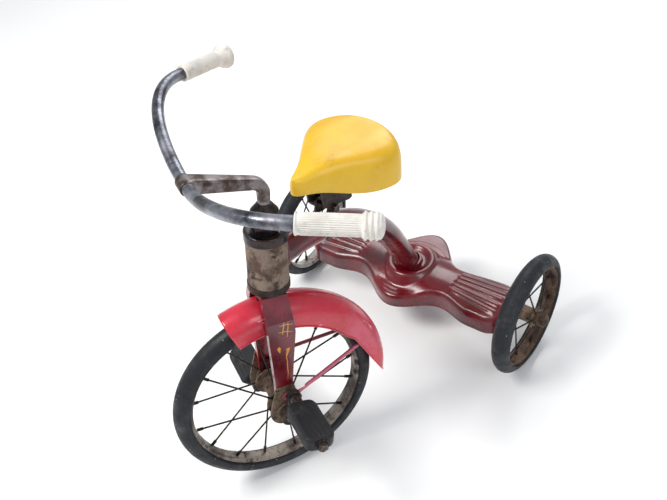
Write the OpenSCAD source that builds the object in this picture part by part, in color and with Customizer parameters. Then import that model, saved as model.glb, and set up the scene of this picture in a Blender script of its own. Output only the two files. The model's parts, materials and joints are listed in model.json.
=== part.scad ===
// Child's pedal tricycle: raked steering head, front-wheel cranks, stamped step deck.
// Millimetres. Origin on the ground under the middle of the rear axle.
// -Y is forward, +X is the rider's left, +Z is up. The bars are stored turned to the right.

/* [Wheels and stance] */
// Outer radius of the front tyre
front_wheel_r = 152; // [140:1:160]
// Outer radius of the rear tyres
rear_wheel_r = 101.5; // [95:0.5:108]
// Distance from the rear axle to the front axle
wheelbase = 355; // [340:1:380]
// Distance from the middle plane to the middle of a rear tyre
half_track = 222; // [216:1:235]
// Width of a tyre
tyre_w = 32; // [28:1:34]

/* [Steering] */
// Backward lean of the steering axis in degrees
rake = 11.4; // [8:0.2:14]
// Angle at which the bars are stored, negative to the rider's right
steer_angle = -27.7; // [-45:0.1:45]

/* [Handlebar and stem] */
// Diameter of the handlebar tube
bar_d = 15.9; // [14:0.1:18]
// Distance of the bar's middle ahead of the steering axis
bar_reach = 93.7; // [80:0.1:105]
// Height of the bar's middle along the steering axis
bar_mid_h = 522; // [505:1:535]
// Height of the grips along the steering axis
grip_h = 572; // [555:1:590]
// Sideways distance from the middle to a grip's mouth
grip_mouth_x = 202.4; // [185:0.1:215]
// Distance of a grip's mouth ahead of the steering axis
grip_mouth_reach = 40; // [30:1:50]
// Backward sweep of the grips in degrees
grip_sweep = 61.2; // [50:0.1:70]
// Length of a grip
grip_len = 87; // [80:1:92]

/* [Fork and mudguard] */
// Sideways distance from the middle to a leg's outer face
leg_x = 41; // [40:0.5:44]
// Thickness of the pressed sheet
sheet = 1.8; // [1.4:0.1:2.2]
// Radius of the mudguard's crown about the front axle
fender_r = 174; // [172:0.5:175]
// Half of the mudguard's width
fender_half_w = 27; // [24:0.5:28]

/* [Cranks and pedals] */
// Length of a crank between its two eyes
crank_len = 36; // [32:1:45]
// Lean of the left crank back from the steering axis in degrees
crank_lean = 11; // [-30:1:30]
// Length of a pedal block
pedal_len = 75; // [65:1:80]
// Width of a pedal block
pedal_w = 42; // [38:1:50]
// Thickness of a pedal block
pedal_t = 22; // [18:1:26]

/* [Backbone and deck] */
// Diameter of the backbone tube
backbone_d = 37.5; // [34:0.5:40]
// Radius of the backbone's bend
backbone_bend_r = 319; // [310:1:325]
// Height of the deck's skirt edge above the ground
skirt_z = 70; // [66:1:74]
// Height of the fold round the deck
fold_z = 94; // [90:1:96]
// Distance from the middle to each end of the deck
deck_end_x = 197; // [190:1:199]

/* [Seat] */
// Place of the seat's nose ahead of the rear axle
seat_nose_y = -239.2; // [-248:0.2:-232]
// Height of the seat's nose
seat_nose_z = 454.6; // [450:0.2:462]
// Length of the seat
seat_len = 168.4; // [164:0.2:178]
// Half width of the seat near its back
seat_half_w = 82.8; // [76:0.2:90]

/* [Hidden] */
$fn = 64;

// Running clearance of a shaft in its hole, on the radius
run = 0.05;

// Steering axis on the ground, and the front axle's station along the steering axis
axis_y = -(wheelbase + front_wheel_r * tan(rake));
hub_s = front_wheel_r / cos(rake);

// Stations along the steering axis
crown_s = 336;
crown_top_s = 346;
ring_s = 347;
head_s = 357;
head_top_s = 424;
cap_top_s = 437;
steerer_top_s = 460;
clamp_nut_top_s = 474;
head_r = 27.6;
steerer_r = 12.7;
bar_r = bar_d / 2;

// Fork bracket and bolt
lobe_r = 24;
plate_t = 3;
bolt_s = hub_s + 27;
bolt_y = 3;
boss_x = leg_x + 6;

// Crank and pedal stations along the axle
axle_r = 6;
spindle_r = 5;
crank_x = leg_x + 11;
crank_t = 8;
pedal_x = crank_x + crank_t + 16;
pedal_end_x = pedal_x + pedal_len;
near_pedal_tilt = 4;
far_pedal_tilt = 64;

// Backbone: it leaves the head at a right angle and bends down to the deck
backbone_r = backbone_d / 2;
head_to_bend = 59.3;
bend_y = axis_y + head_to_bend;
bend_z = 60.6;
bend_end = 65.5;

// Deck arch over the axle
arch_r = 86;
arch_z = fold_z + 16 - arch_r;
dome_r = 56;
dome_h = 21;
ring_y = 4;
deck_t = 1.6;

// Rear wheel stations
rear_axle_r = 6;
rear_flange_x = 15;

/* ---- frames ---- */
module head_frame() {
    translate([0, axis_y, 0]) rotate([-rake, 0, 0]) children();
}
module fork_frame() {
    head_frame() rotate([0, 0, steer_angle]) children();
}
module axle_frame() {
    fork_frame() translate([0, 0, hub_s]) children();
}
module crank_frame(side) {
    axle_frame() rotate([side > 0 ? -crank_lean : 180 - crank_lean, 0, 0]) children();
}
module rear_frame(side) {
    translate([side * half_track, 0, rear_wheel_r]) children();
}
module grip_frame(side) {
    fork_frame() translate([side * grip_mouth_x, -grip_mouth_reach, grip_h])
        rotate([0, 0, side > 0 ? grip_sweep : 180 - grip_sweep]) rotate([0, 90, 0]) children();
}
// Places children with their Z axis along +X
module along_x() {
    rotate([0, 90, 0]) children();
}

/* ---- small shapes ---- */
module tube(r, bore, h) {
    difference() {
        cylinder(r = r, h = h);
        translate([0, 0, -1]) cylinder(r = bore, h = h + 2);
    }
}
// Straight round rod between two points
module rod(a, b, r) {
    d = b - a;
    len = norm(d);
    translate(a) rotate([0, acos(d[2] / len), atan2(d[1], d[0])]) cylinder(r = r, h = len, $fn = 24);
}
module hex_nut(af, bore, h) {
    difference() {
        cylinder(r = af / sqrt(3), h = h, $fn = 6);
        translate([0, 0, -1]) cylinder(r = bore, h = h + 2);
    }
}
// Low domed bolt head standing on z = 0
module dome_head(r, h) {
    ball = (r * r + h * h) / (2 * h);
    intersection() {
        translate([0, 0, h - ball]) sphere(r = ball);
        cylinder(r = r, h = h);
    }
}
module mirror_pair() {
    children();
    mirror([1, 0, 0]) children();
}

/* ---- curves ---- */
function bez(p, t) = pow(1 - t, 3) * p[0] + 3 * t * pow(1 - t, 2) * p[1]
    + 3 * t * t * (1 - t) * p[2] + pow(t, 3) * p[3];
function unit(v) = v / norm(v);
function ease(t) = 0.5 - 0.5 * cos(180 * max(0, min(1, t)));
function tangent(path, i) = unit(path[min(i + 1, len(path) - 1)] - path[max(i - 1, 0)]);
function ring_points(path, i, r, sides) =
    let (t = tangent(path, i), u = unit(cross([0, 0, 1], t)), v = cross(t, u))
    [for (k = [0 : sides - 1]) path[i] + r * (cos(360 * k / sides) * u + sin(360 * k / sides) * v)];
function flat_list(rows) = [for (row = rows) each row];
// Quads between two rings of points that start at a and b
function band(a, b, n) = [for (k = [0 : n - 1]) [a + k, b + k, b + (k + 1) % n, a + (k + 1) % n]];

// Hollow tube swept along a path, open at both ends
module swept_tube(path, r, bore, sides) {
    n = len(path);
    outer = flat_list([for (i = [0 : n - 1]) ring_points(path, i, r, sides)]);
    inner = flat_list([for (i = [0 : n - 1]) ring_points(path, i, bore, sides)]);
    m = n * sides;
    last = (n - 1) * sides;
    polyhedron(
        points = concat(outer, inner),
        faces = concat(
            flat_list([for (i = [0 : n - 2]) band(i * sides, (i + 1) * sides, sides)]),
            flat_list([for (i = [0 : n - 2]) band(m + (i + 1) * sides, m + i * sides, sides)]),
            band(m, 0, sides),
            band(last, m + last, sides)),
        convexity = 8);
}

/* ---- wheels ---- */
// Solid rubber tyre with a foot that sits in the rim's channel
module tyre_ring(wheel_r, rim_r, crown) {
    half = tyre_w / 2;
    seat_r = rim_r + 1.4;
    lip_r = rim_r + 6;
    along_x() rotate_extrude($fn = 128) {
        intersection() {
            translate([lip_r, -half]) square([wheel_r - lip_r, tyre_w]);
            translate([wheel_r - half * crown, 0]) scale([crown, 1]) circle(r = half, $fn = 48);
        }
        translate([seat_r, -9.8]) square([lip_r - seat_r, 19.6]);
    }
}
// Rolled steel rim: a channel open to the outside
module rim_ring(rim_r, half) {
    lip_r = rim_r + 6;
    wall = 1.4;
    along_x() rotate_extrude($fn = 128) difference() {
        translate([rim_r, -half]) square([lip_r - rim_r, 2 * half]);
        translate([rim_r + wall, -half + wall]) square([lip_r, 2 * (half - wall)]);
    }
}
// Hub shell: barrel, two spoke flanges and two end sleeves
module hub_shell(barrel_r, flange_r, flange_x, end_x, bore) {
    along_x() difference() {
        union() {
            translate([0, 0, -flange_x]) cylinder(r = barrel_r, h = 2 * flange_x);
            translate([0, 0, -end_x]) cylinder(r = barrel_r - 2.5, h = 2 * end_x);
            for (z = [-flange_x, flange_x - 2.4]) translate([0, 0, z]) cylinder(r = flange_r, h = 2.4);
        }
        translate([0, 0, -end_x - 1]) cylinder(r = bore, h = 2 * end_x + 2);
    }
}
// Wire spokes, taken in turn from the two flanges, each with a nipple at the rim
module wheel_spokes(count, phase, flange_r, flange_x, rim_r, wire_r) {
    for (i = [0 : count - 1]) {
        a = phase + 360 * i / count;
        s = i % 2 == 0 ? 1 : -1;
        lead = i % 4 < 2 ? 9 : -9;
        hub_end = [s * (flange_x + wire_r), -flange_r * cos(a + lead), flange_r * sin(a + lead)];
        rim_end = [s * 2, -(rim_r - 0.3) * cos(a), (rim_r - 0.3) * sin(a)];
        rod(hub_end, rim_end, wire_r);
        rod(rim_end + 9 * unit(hub_end - rim_end), rim_end, wire_r + 1);
    }
}

front_rim_r = front_wheel_r - 27.4;
rear_rim_r = rear_wheel_r - 22;
module front_tyre() {
    color("#1c2026") axle_frame() tyre_ring(front_wheel_r, front_rim_r, 1.1);
}
module front_rim() {
    color("#4a4340") axle_frame() rim_ring(front_rim_r, 11.2);
}
module front_hub() {
    color("#3b322c") axle_frame() hub_shell(13, 22, 25, 33, axle_r);
}
module front_spokes() {
    color("#1a1a1a") axle_frame() wheel_spokes(16, 44.5 - rake, 18, 25, front_rim_r, 1.3);
}
module rear_tyre(side) {
    color("#1c2026") rear_frame(side) tyre_ring(rear_wheel_r, rear_rim_r, 1.05);
}
module rear_rim(side) {
    color(side > 0 ? "#4b3a30" : "#8c8784") rear_frame(side) rim_ring(rear_rim_r, 12);
}
module rear_hub(side) {
    color("#5a4a3e") rear_frame(side) hub_shell(12.5, 18, rear_flange_x, 20, rear_axle_r + run);
}
module rear_spokes(side) {
    color("#1a1a1a") rear_frame(side) wheel_spokes(12, 20, 14.5, rear_flange_x, rear_rim_r, 1.3);
}
module left_rear_tyre() { rear_tyre(1); }
module left_rear_rim() { rear_rim(1); }
module left_rear_hub() { rear_hub(1); }
module left_rear_spokes() { rear_spokes(1); }
module right_rear_tyre() { rear_tyre(-1); }
module right_rear_rim() { rear_rim(-1); }
module right_rear_hub() { rear_hub(-1); }
module right_rear_spokes() { rear_spokes(-1); }

/* ---- cranks and pedals ---- */
module front_axle() {
    color("#3a342f") axle_frame() along_x() translate([0, 0, -crank_x - crank_t - 1])
        cylinder(r = axle_r, h = 2 * (crank_x + crank_t + 1));
}
// Flat forged crank: an eye on the axle and a smaller eye on the pedal spindle
module crank(side) {
    color("#26211e") crank_frame(side) mirror([side > 0 ? 0 : 1, 0, 0]) translate([crank_x, 0, 0])
        difference() {
            union() {
                along_x() cylinder(r = 13, h = crank_t);
                translate([0, 0, crank_len]) along_x() cylinder(r = 10.5, h = crank_t);
                translate([0, -9, 0]) cube([crank_t, 18, crank_len]);
            }
            translate([-1, 0, 0]) along_x() cylinder(r = axle_r, h = crank_t + 2);
            translate([-1, 0, crank_len]) along_x() cylinder(r = spindle_r, h = crank_t + 2);
        }
}
module left_crank() { crank(1); }
module right_crank() { crank(-1); }
// Spindle with a shoulder between the crank and the block
module pedal_spindle(side) {
    color("#4a4642") crank_frame(side) mirror([side > 0 ? 0 : 1, 0, 0])
        translate([crank_x, 0, crank_len]) along_x() {
            cylinder(r = spindle_r, h = pedal_end_x + 8 - crank_x);
            translate([0, 0, crank_t]) cylinder(r = 8, h = pedal_x - crank_x - crank_t - 0.6);
        }
}
module left_pedal_spindle() { pedal_spindle(1); }
module right_pedal_spindle() { pedal_spindle(-1); }
// Washer and nut that keep a block on its spindle
module pedal_nut(side) {
    crank_frame(side) mirror([side > 0 ? 0 : 1, 0, 0])
        translate([pedal_end_x + 0.6, 0, crank_len]) along_x() {
            tube(9, spindle_r, 1.6);
            translate([0, 0, 1.6]) hex_nut(13, spindle_r, 5);
        }
}
module pedal_nuts() {
    color("#55504b") {
        pedal_nut(1);
        pedal_nut(-1);
    }
}
// Rubber block with rounded edges, rounded plan corners and tread grooves on both faces
module pedal(side) {
    tilt = side > 0 ? near_pedal_tilt : far_pedal_tilt + 180;
    round_r = 6;
    plan_r = 12;
    color("#15171b") crank_frame(side) mirror([side > 0 ? 0 : 1, 0, 0])
        translate([pedal_x, 0, crank_len])
        rotate([tilt, 0, 0]) difference() {
            intersection() {
                along_x() linear_extrude(pedal_len) {
                    for (y = [-1, 1], x = [-1, 1])
                        translate([x * (pedal_t / 2 - round_r), y * (pedal_w / 2 - round_r)])
                            circle(r = round_r);
                    square([pedal_t, pedal_w - 2 * round_r], center = true);
                    square([pedal_t - 2 * round_r, pedal_w], center = true);
                }
                translate([0, 0, -pedal_t]) linear_extrude(2 * pedal_t) {
                    for (x = [plan_r, pedal_len - plan_r], y = [-1, 1])
                        translate([x, y * (pedal_w / 2 - plan_r)]) circle(r = plan_r);
                    translate([0, plan_r - pedal_w / 2]) square([pedal_len, pedal_w - 2 * plan_r]);
                    translate([plan_r, -pedal_w / 2]) square([pedal_len - 2 * plan_r, pedal_w]);
                }
            }
            translate([-1, 0, 0]) along_x() cylinder(r = spindle_r + run, h = pedal_len + 2);
            for (z = [-1, 1], k = [-2 : 2])
                translate([8, k * 7 - 1, z > 0 ? pedal_t / 2 - 1.6 : -pedal_t / 2 - 1])
                    cube([pedal_len - 16, 2, 2.6]);
        }
}
module left_pedal() { pedal(1); }
module right_pedal() { pedal(-1); }

/* ---- head and steerer ---- */
module head_tube() {
    color("#7d6456") head_frame() translate([0, 0, head_s]) tube(head_r, head_r - 2, head_top_s - head_s);
}
module lower_head_ring() {
    color("#2e2b2a") head_frame() rotate_extrude() {
        translate([16, ring_s + 2]) square([head_r + 1 - 16, head_s - ring_s - 2]);
        translate([16, ring_s]) square([head_r - 1 - 16, head_s - ring_s]);
        translate([head_r - 1, ring_s + 2]) circle(r = 2, $fn = 24);
    }
}
// Upper cap: rolled rim with a dished top
module upper_head_cap() {
    color("#23212b") head_frame() rotate_extrude() difference() {
        union() {
            translate([16, head_top_s]) square([11.5, cap_top_s - head_top_s]);
            translate([26.4, cap_top_s - 2.5]) circle(r = 2.5, $fn = 24);
            translate([16, head_top_s]) square([12.9, cap_top_s - head_top_s - 2.5]);
        }
        translate([19, cap_top_s + 10]) circle(r = 14, $fn = 48);
    }
}
module head_bushes() {
    color("#d8d2c4") head_frame() {
        translate([0, 0, head_s]) tube(head_r - 2, steerer_r + run, 16);
        translate([0, 0, head_top_s - 16]) tube(head_r - 2, steerer_r + run, 16);
    }
}
module steerer_tube() {
    color("#5c5650") fork_frame() translate([0, 0, crown_s])
        tube(steerer_r, bar_r + run, steerer_top_s - crown_s);
}
module head_locknut() {
    color("#2b2928") fork_frame() translate([0, 0, cap_top_s + 0.6]) hex_nut(34, steerer_r, 8);
}
// Nut with a conical top that closes on the stem
module stem_clamp_nut() {
    color("#2b2928") fork_frame() difference() {
        translate([0, 0, steerer_top_s - 9]) {
            cylinder(r = 18, h = 13);
            translate([0, 0, 13]) cylinder(r1 = 18, r2 = 10, h = clamp_nut_top_s - steerer_top_s - 4);
        }
        translate([0, 0, steerer_top_s - 10]) cylinder(r = steerer_r, h = 10);
        cylinder(r = bar_r + run, h = 600);
    }
}

/* ---- fork ---- */
module fork_crown() {
    color("#6e1f28") fork_frame() difference() {
        translate([-22, -19, crown_s]) cube([44, 34, crown_top_s - crown_s]);
        cylinder(r = steerer_r, h = 600);
        translate([0, -16.3, crown_s - 1]) cylinder(r = 2.5, h = 20, $fn = 24);
    }
}
// Side outline of a leg, as depth against height, taken in by d all round
function leg_outline(d) = [[-20.5 + d, 350], [-20.5 + d, 325], [-18.5 + d, 285], [-13 + d, 205],
    [-11.5 + d, bolt_s - 11 + d], [11.5 - d, bolt_s - 11 + d], [12.5 - d, 205], [15 - d, 242],
    [19.5 - d, 292], [16.5 - d, 325], [15 - d, 350]];
// Front view of the folded sheet: outer faces at d inside the leg's outside
function leg_face(d, x) = [[22, crown_top_s - d], [25.5 - d / 2, crown_top_s - d], [leg_x - d, 313],
    [leg_x - d, 100], [x, 100], [x, 308], [22, 326]];
module fork_leg() {
    flange = 10;
    difference() {
        intersection() {
            translate([0, 40, 0]) rotate([90, 0, 0]) linear_extrude(80) polygon(leg_face(0, leg_x - flange));
            along_x() rotate([0, 0, 90]) linear_extrude(80) polygon(leg_outline(0));
        }
        intersection() {
            translate([0, 40, 0]) rotate([90, 0, 0]) linear_extrude(80) polygon(leg_face(sheet, 20));
            along_x() rotate([0, 0, 90]) linear_extrude(80) polygon(leg_outline(sheet));
        }
        translate([0, bolt_y, bolt_s]) along_x() cylinder(r = 3.05, h = 80);
    }
}
module fork_left_leg() {
    color("#7a1c26") fork_frame() fork_leg();
}
module fork_right_leg() {
    color("#7a1c26") fork_frame() mirror([1, 0, 0]) fork_leg();
}
// Axle bracket: a plate over the leg's foot that widens into a round lobe with a bearing boss
module axle_bracket() {
    difference() {
        translate([leg_x, 0, 0]) {
            translate([0, 0, hub_s]) along_x() cylinder(r = lobe_r, h = plate_t);
            translate([0, 0, hub_s]) along_x() translate([0, 0, -5]) cylinder(r = 15, h = boss_x - leg_x + 5);
            along_x() rotate([0, 0, 90]) linear_extrude(plate_t) polygon([[-14, 200], [13, 200],
                [lobe_r - 1, hub_s + 6], [1 - lobe_r, hub_s + 6]]);
        }
        translate([0, 0, hub_s]) along_x() cylinder(r = 9, h = 80);
        translate([0, bolt_y, bolt_s]) along_x() cylinder(r = 3.05, h = 80);
    }
}
module left_axle_bracket() {
    color("#7b6a58") fork_frame() axle_bracket();
}
module right_axle_bracket() {
    color("#7b6a58") fork_frame() mirror([1, 0, 0]) axle_bracket();
}
module axle_bushes() {
    color("#9a8a5a") axle_frame() mirror_pair()
        translate([leg_x - 5, 0, 0]) along_x() tube(9, axle_r + run, boss_x - leg_x + 5.5);
}
stay_t = 2.5;
module bracket_bolts() {
    color("#4a2a2c") fork_frame() mirror_pair() translate([leg_x, bolt_y, bolt_s]) along_x() {
        translate([0, 0, -9]) cylinder(r = 3, h = 9 + plate_t + stay_t);
        translate([0, 0, plate_t + stay_t]) dome_head(6.5, 3.4);
    }
}
module bracket_nuts() {
    color("#3a3a3c") fork_frame() mirror_pair()
        translate([leg_x - sheet - 5, bolt_y, bolt_s]) along_x() hex_nut(10, 3, 5);
}

/* ---- mudguard ---- */
// Arched section of the mudguard, taken in by d
function arch_section(d) = concat(
    [[fender_r - 40, fender_half_w - d]],
    [for (a = [0 : 10 : 180]) [fender_r - 26 + (26 - d) * sin(a), (fender_half_w - d) * cos(a)]],
    [[fender_r - 40, d - fender_half_w]]);
// Puts a turned shape's start at angle a from straight ahead, running over the top to the back
module fender_turn(a) {
    multmatrix([[0, 0, 1, 0], [-1, 0, 0, 0], [0, 1, 0, 0]]) rotate([0, 0, a]) children();
}
module front_fender() {
    front_cut = 77 - rake;
    sweep = 125;
    tail_lean = 20;
    color("#c42a44") axle_frame() difference() {
        fender_turn(front_cut) rotate_extrude(angle = sweep, $fn = 128) difference() {
                polygon(arch_section(0));
                polygon(concat([[0, fender_half_w - 1.6]], arch_section(1.6), [[0, 1.6 - fender_half_w]]));
            }
        // Slanted cut that draws the tail out to a point
        rotate([rake, 0, 0]) translate([-60, 128, 54]) rotate([tail_lean, 0, 0])
            translate([0, -200, -300]) cube([120, 200, 300]);
        translate([0, -16.3, 0]) cylinder(r = 2.55, h = 300, $fn = 24);
    }
}
module fender_bolt() {
    top = fender_r - 1;
    color("#3a3a3c") axle_frame() translate([0, -16.3, 0]) {
        translate([0, 0, top - 6]) cylinder(r = 2.5, h = 17);
        translate([0, 0, top - 8.5]) mirror([0, 0, 1]) dome_head(5.5, 2.6);
        translate([0, 0, top - 8.5]) cylinder(r = 5.5, h = 4.5);
    }
}
// Stay from the bracket bolt up to the inside of the mudguard's tail
module fender_stay() {
    foot = [leg_x + plate_t + stay_t / 2, bolt_y, bolt_s];
    a = 166 - rake;
    tip_r = 145;
    tip = [fender_half_w - 8, -tip_r * cos(a), hub_s + tip_r * sin(a)];
    start = foot + [1.5, 7.5, 1.5];
    difference() {
        union() {
            translate([leg_x + plate_t, bolt_y, bolt_s]) along_x() cylinder(r = 8, h = stay_t);
            rod(start, tip, 2.8);
        }
        translate([0, bolt_y, bolt_s]) along_x() cylinder(r = 3.05, h = 80);
        translate([leg_x + plate_t - 10, -30, 100]) cube([10, 60, 120]);
    }
    translate(tip) along_x() translate([0, 0, 0.2]) cylinder(r = 5, h = 6.15);
}
module left_fender_stay() {
    color("#b8506a") fork_frame() fender_stay();
}
module right_fender_stay() {
    color("#6e1f28") fork_frame() mirror([1, 0, 0]) fender_stay();
}

/* ---- handlebar ---- */
stem_foot_s = 396;
elbow_s = 489;
elbow_r = 17;
elbow_turn = 76.5;
stem_w = 16;
sleeve_r = 10.2;
bolt_seat = 12.6;
// Flat-sided forged section with rounded corners
module arm_section(w, h) {
    corner = 4;
    square([w - 2 * corner, h], center = true);
    square([w, h - 2 * corner], center = true);
    for (x = [-1, 1], z = [-1, 1]) translate([x * (w / 2 - corner), z * (h / 2 - corner)])
        circle(r = corner, $fn = 24);
}
module handlebar_stem() {
    arm_slope = 90 - elbow_turn;
    color("#5d5358") fork_frame() difference() {
        union() {
            translate([0, 0, stem_foot_s]) cylinder(r = bar_r, h = elbow_s - stem_foot_s);
            translate([0, -elbow_r, elbow_s]) rotate([90, 0, 90]) rotate_extrude(angle = elbow_turn)
                translate([elbow_r, 0]) arm_section(stem_w, stem_w);
            hull() {
                translate([0, -elbow_r, elbow_s]) rotate([elbow_turn, 0, 0]) translate([0, elbow_r, 0])
                    linear_extrude(0.5) arm_section(stem_w, stem_w);
                translate([0, 6 - bar_reach, bar_mid_h - 1]) rotate([90 - arm_slope, 0, 0])
                    linear_extrude(0.5) arm_section(24, 20);
            }
            translate([-12, -bar_reach, bar_mid_h]) along_x() cylinder(r = sleeve_r, h = 24);
        }
        translate([-60, -bar_reach, bar_mid_h]) along_x() cylinder(r = bar_r, h = 120);
        translate([0, 12 - bar_reach, bar_mid_h - bolt_seat - 1]) cylinder(r = 3, h = bolt_seat + 5, $fn = 24);
        translate([0, 12 - bar_reach, bar_mid_h - bolt_seat - 20]) cylinder(r = 6.6, h = 20);
    }
}
module stem_clamp_bolt() {
    color("#3a3a3c") fork_frame() translate([0, 12 - bar_reach, bar_mid_h]) {
        translate([0, 0, -bolt_seat]) mirror([0, 0, 1]) dome_head(6, 3.5);
        translate([0, 0, -bolt_seat]) cylinder(r = 3, h = bolt_seat + 4, $fn = 24);
    }
}
function mirror_x(p) = [-p[0], p[1], p[2]];
// One half of the bar's centre line, from the middle to inside the grip
bar_straight = 14;
bar_handle = 38;
grip_handle = 78.8;
grip_dir = [cos(grip_sweep), sin(grip_sweep), 0];
bar_mouth = [grip_mouth_x, -grip_mouth_reach, grip_h];
bar_steps = 20;
bar_curve = [[bar_straight, -bar_reach, bar_mid_h], [bar_handle, -bar_reach, bar_mid_h],
    bar_mouth - grip_handle * grip_dir, bar_mouth];
half_bar = [for (i = [1 : bar_steps]) bez(bar_curve, i / bar_steps)];
bar_path = concat(
    [mirror_x(bar_mouth + 72 * grip_dir)],
    [for (i = [bar_steps - 1 : -1 : 0]) mirror_x(half_bar[i])],
    [mirror_x(bar_curve[0]), bar_curve[0]],
    half_bar,
    [bar_mouth + 72 * grip_dir]);
module handlebar_tube() {
    color("#5a626e") fork_frame() swept_tube(bar_path, bar_r, bar_r - 1.6, 24);
}
// Ribbed vinyl grip with a mouth bead, end rings and a domed end
grip_body_r = 11;
grip_bore_h = 74;
module grip_ribs(count, h) {
    for (k = [0 : count - 1]) rotate([0, 0, 360 * k / count]) translate([grip_body_r - 0.2, 0, 5])
        cylinder(r = 0.6, h = h, $fn = 16);
}
module left_grip() {
    end_r = 13.2;
    color("#dcdad4") grip_frame(1) difference() {
        union() {
            cylinder(r = grip_body_r, h = grip_len - 10);
            cylinder(r = grip_body_r + 1, h = 4);
            for (k = [0 : 2]) translate([0, 0, grip_len - 21 + 5.5 * k]) cylinder(r = end_r + 1.2, h = 3.6);
            translate([0, 0, grip_len - 21]) cylinder(r = end_r, h = 16);
            translate([0, 0, grip_len - 5]) dome_head(end_r, 5);
            grip_ribs(30, grip_len - 27);
        }
        translate([0, 0, -1]) cylinder(r = bar_r + run, h = grip_bore_h);
    }
}
// The other grip sits further out and ends in a smooth bell
module right_grip() {
    shift = 7;
    bell_r = 18;
    bell_h = 22;
    color("#dcdad4") grip_frame(-1) translate([0, 0, shift]) difference() {
        union() {
            cylinder(r = grip_body_r, h = grip_len - 10);
            cylinder(r = grip_body_r + 0.8, h = 3);
            translate([0, 0, grip_len - bell_h]) rotate_extrude() polygon(concat([[0, 0]],
                [for (t = [0 : 0.125 : 1]) [grip_body_r + (bell_r - grip_body_r) * ease(t), t * (bell_h - 5)]],
                [[bell_r, bell_h - 2.5], [bell_r - 2.5, bell_h - 0.6], [0, bell_h]]));
            grip_ribs(36, grip_len - 28);
        }
        translate([0, 0, -1]) cylinder(r = bar_r + run, h = grip_bore_h - shift + 1);
    }
}

/* ---- backbone ---- */
// Tube about the bend's centre: the bend, the straight run into the head and the run to the deck
module backbone_run(r) {
    bend_start = rake;
    translate([0, bend_y, bend_z]) {
        rotate([-bend_start, 0, 0]) rotate([0, -90, 0])
            rotate_extrude(angle = bend_end - bend_start, $fn = 128)
                translate([backbone_bend_r, 0]) circle(r = r);
        rotate([-bend_start, 0, 0]) translate([0, 0, backbone_bend_r]) rotate([90, 0, 0])
            cylinder(r = r, h = 60);
        rotate([-bend_end, 0, 0]) translate([0, 0, backbone_bend_r]) rotate([-90, 0, 0])
            cylinder(r = r, h = 120);
    }
}
module backbone_tube() {
    color("#6b2a30") difference() {
        backbone_run(backbone_r);
        backbone_run(backbone_r - 1.6);
        head_frame() cylinder(r = head_r, h = 600);
        deck_body(0);
        translate([-60, -60, 0]) cube([120, 160, fold_z + 14]);
    }
}
// Short welded sleeve round the foot of the backbone
module backbone_collar() {
    color("#5c141d") difference() {
        intersection() {
            backbone_run(backbone_r + 2.6);
            translate([-60, -30, fold_z]) cube([120, 90, dome_h + 5]);
        }
        deck_body(0);
        backbone_run(backbone_r);
    }
}

/* ---- deck ---- */
neck_x = 83;
lobe_x = 137;
function deck_front(x) = x < neck_x ? 36 + 38 * (1 - ease(x / neck_x))
    : 36 + 11 * ease((x - neck_x) / (lobe_x - neck_x));
function deck_back(x) = x < neck_x ? 36 + 63 * (1 - ease(x / neck_x))
    : 36 + 13 * ease((x - neck_x) / 80);
// Quarter-round corner that takes the outline in towards the deck's ends
corner_r = 34;
function corner_cut(x) = x < deck_end_x - corner_r ? 0
    : corner_r - sqrt(max(0, pow(corner_r, 2) - pow(x - deck_end_x + corner_r, 2)));
deck_xs = concat([for (x = [0 : 11 : deck_end_x - corner_r]) x],
    [for (a = [15 : 25 : 90]) deck_end_x - corner_r + corner_r * sin(a)]);
function half_outline(d) = concat(
    [for (x = deck_xs) [min(x, deck_end_x - d), -deck_front(x) + corner_cut(x) + d]],
    [for (i = [len(deck_xs) - 1 : -1 : 0]) let (x = deck_xs[i])
        [min(x, deck_end_x - d), deck_back(x) - corner_cut(x) - d]]);
module deck_outline(d) {
    polygon(half_outline(d));
    mirror([1, 0]) polygon(half_outline(d));
}
// Pressed ring round the backbone, as radius against height above the fold
ring_profile = [[dome_r, -20], [dome_r, 1], [dome_r - 6, 9], [dome_r - 13, dome_h - 2],
    [dome_r - 18, dome_h], [dome_r - 24, dome_h - 1], [dome_r - 31, dome_h - 6], [0, dome_h - 6]];
// Solid body of the deck, taken in by d: flat fold, arch over the axle and ring round the backbone
module deck_body(d) {
    intersection() {
        translate([0, 0, skirt_z - (d > 0 ? 1 : 0)]) linear_extrude(80) deck_outline(d);
        union() {
            translate([-250, -150, 0]) cube([500, 300, fold_z - d]);
            translate([-250, 0, arch_z]) along_x() cylinder(r = arch_r - d, h = 500, $fn = 96);
            translate([0, ring_y, fold_z - d]) rotate_extrude() polygon(concat([[0, -20]], ring_profile));
        }
    }
}
module step_deck() {
    color("#7c1a26") difference() {
        union() {
            deck_body(0);
            mirror_pair() for (k = [-2 : 2]) deck_rib(k);
        }
        deck_body(deck_t);
        translate([-300, 0, rear_wheel_r]) along_x() cylinder(r = rear_axle_r, h = 600);
    }
}
// Raised bead pressed along a foot lobe; the five beads fan out towards the wheel
module deck_rib(k) {
    bead_r = 5;
    sink = 3.4;
    function bead_end(x, y) = [x, y, arch_z + sqrt(arch_r * arch_r - y * y) - sink];
    a = bead_end(92, k * 10);
    b = bead_end(deck_end_x - 18, k * 14);
    rod(a, b, bead_r);
    for (p = [a, b]) translate(p) sphere(r = bead_r, $fn = 32);
}

/* ---- rear axle ---- */
module rear_axle() {
    color("#4d4038") translate([-half_track - 34, 0, rear_wheel_r]) along_x()
        cylinder(r = rear_axle_r, h = 2 * half_track + 68);
}
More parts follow.
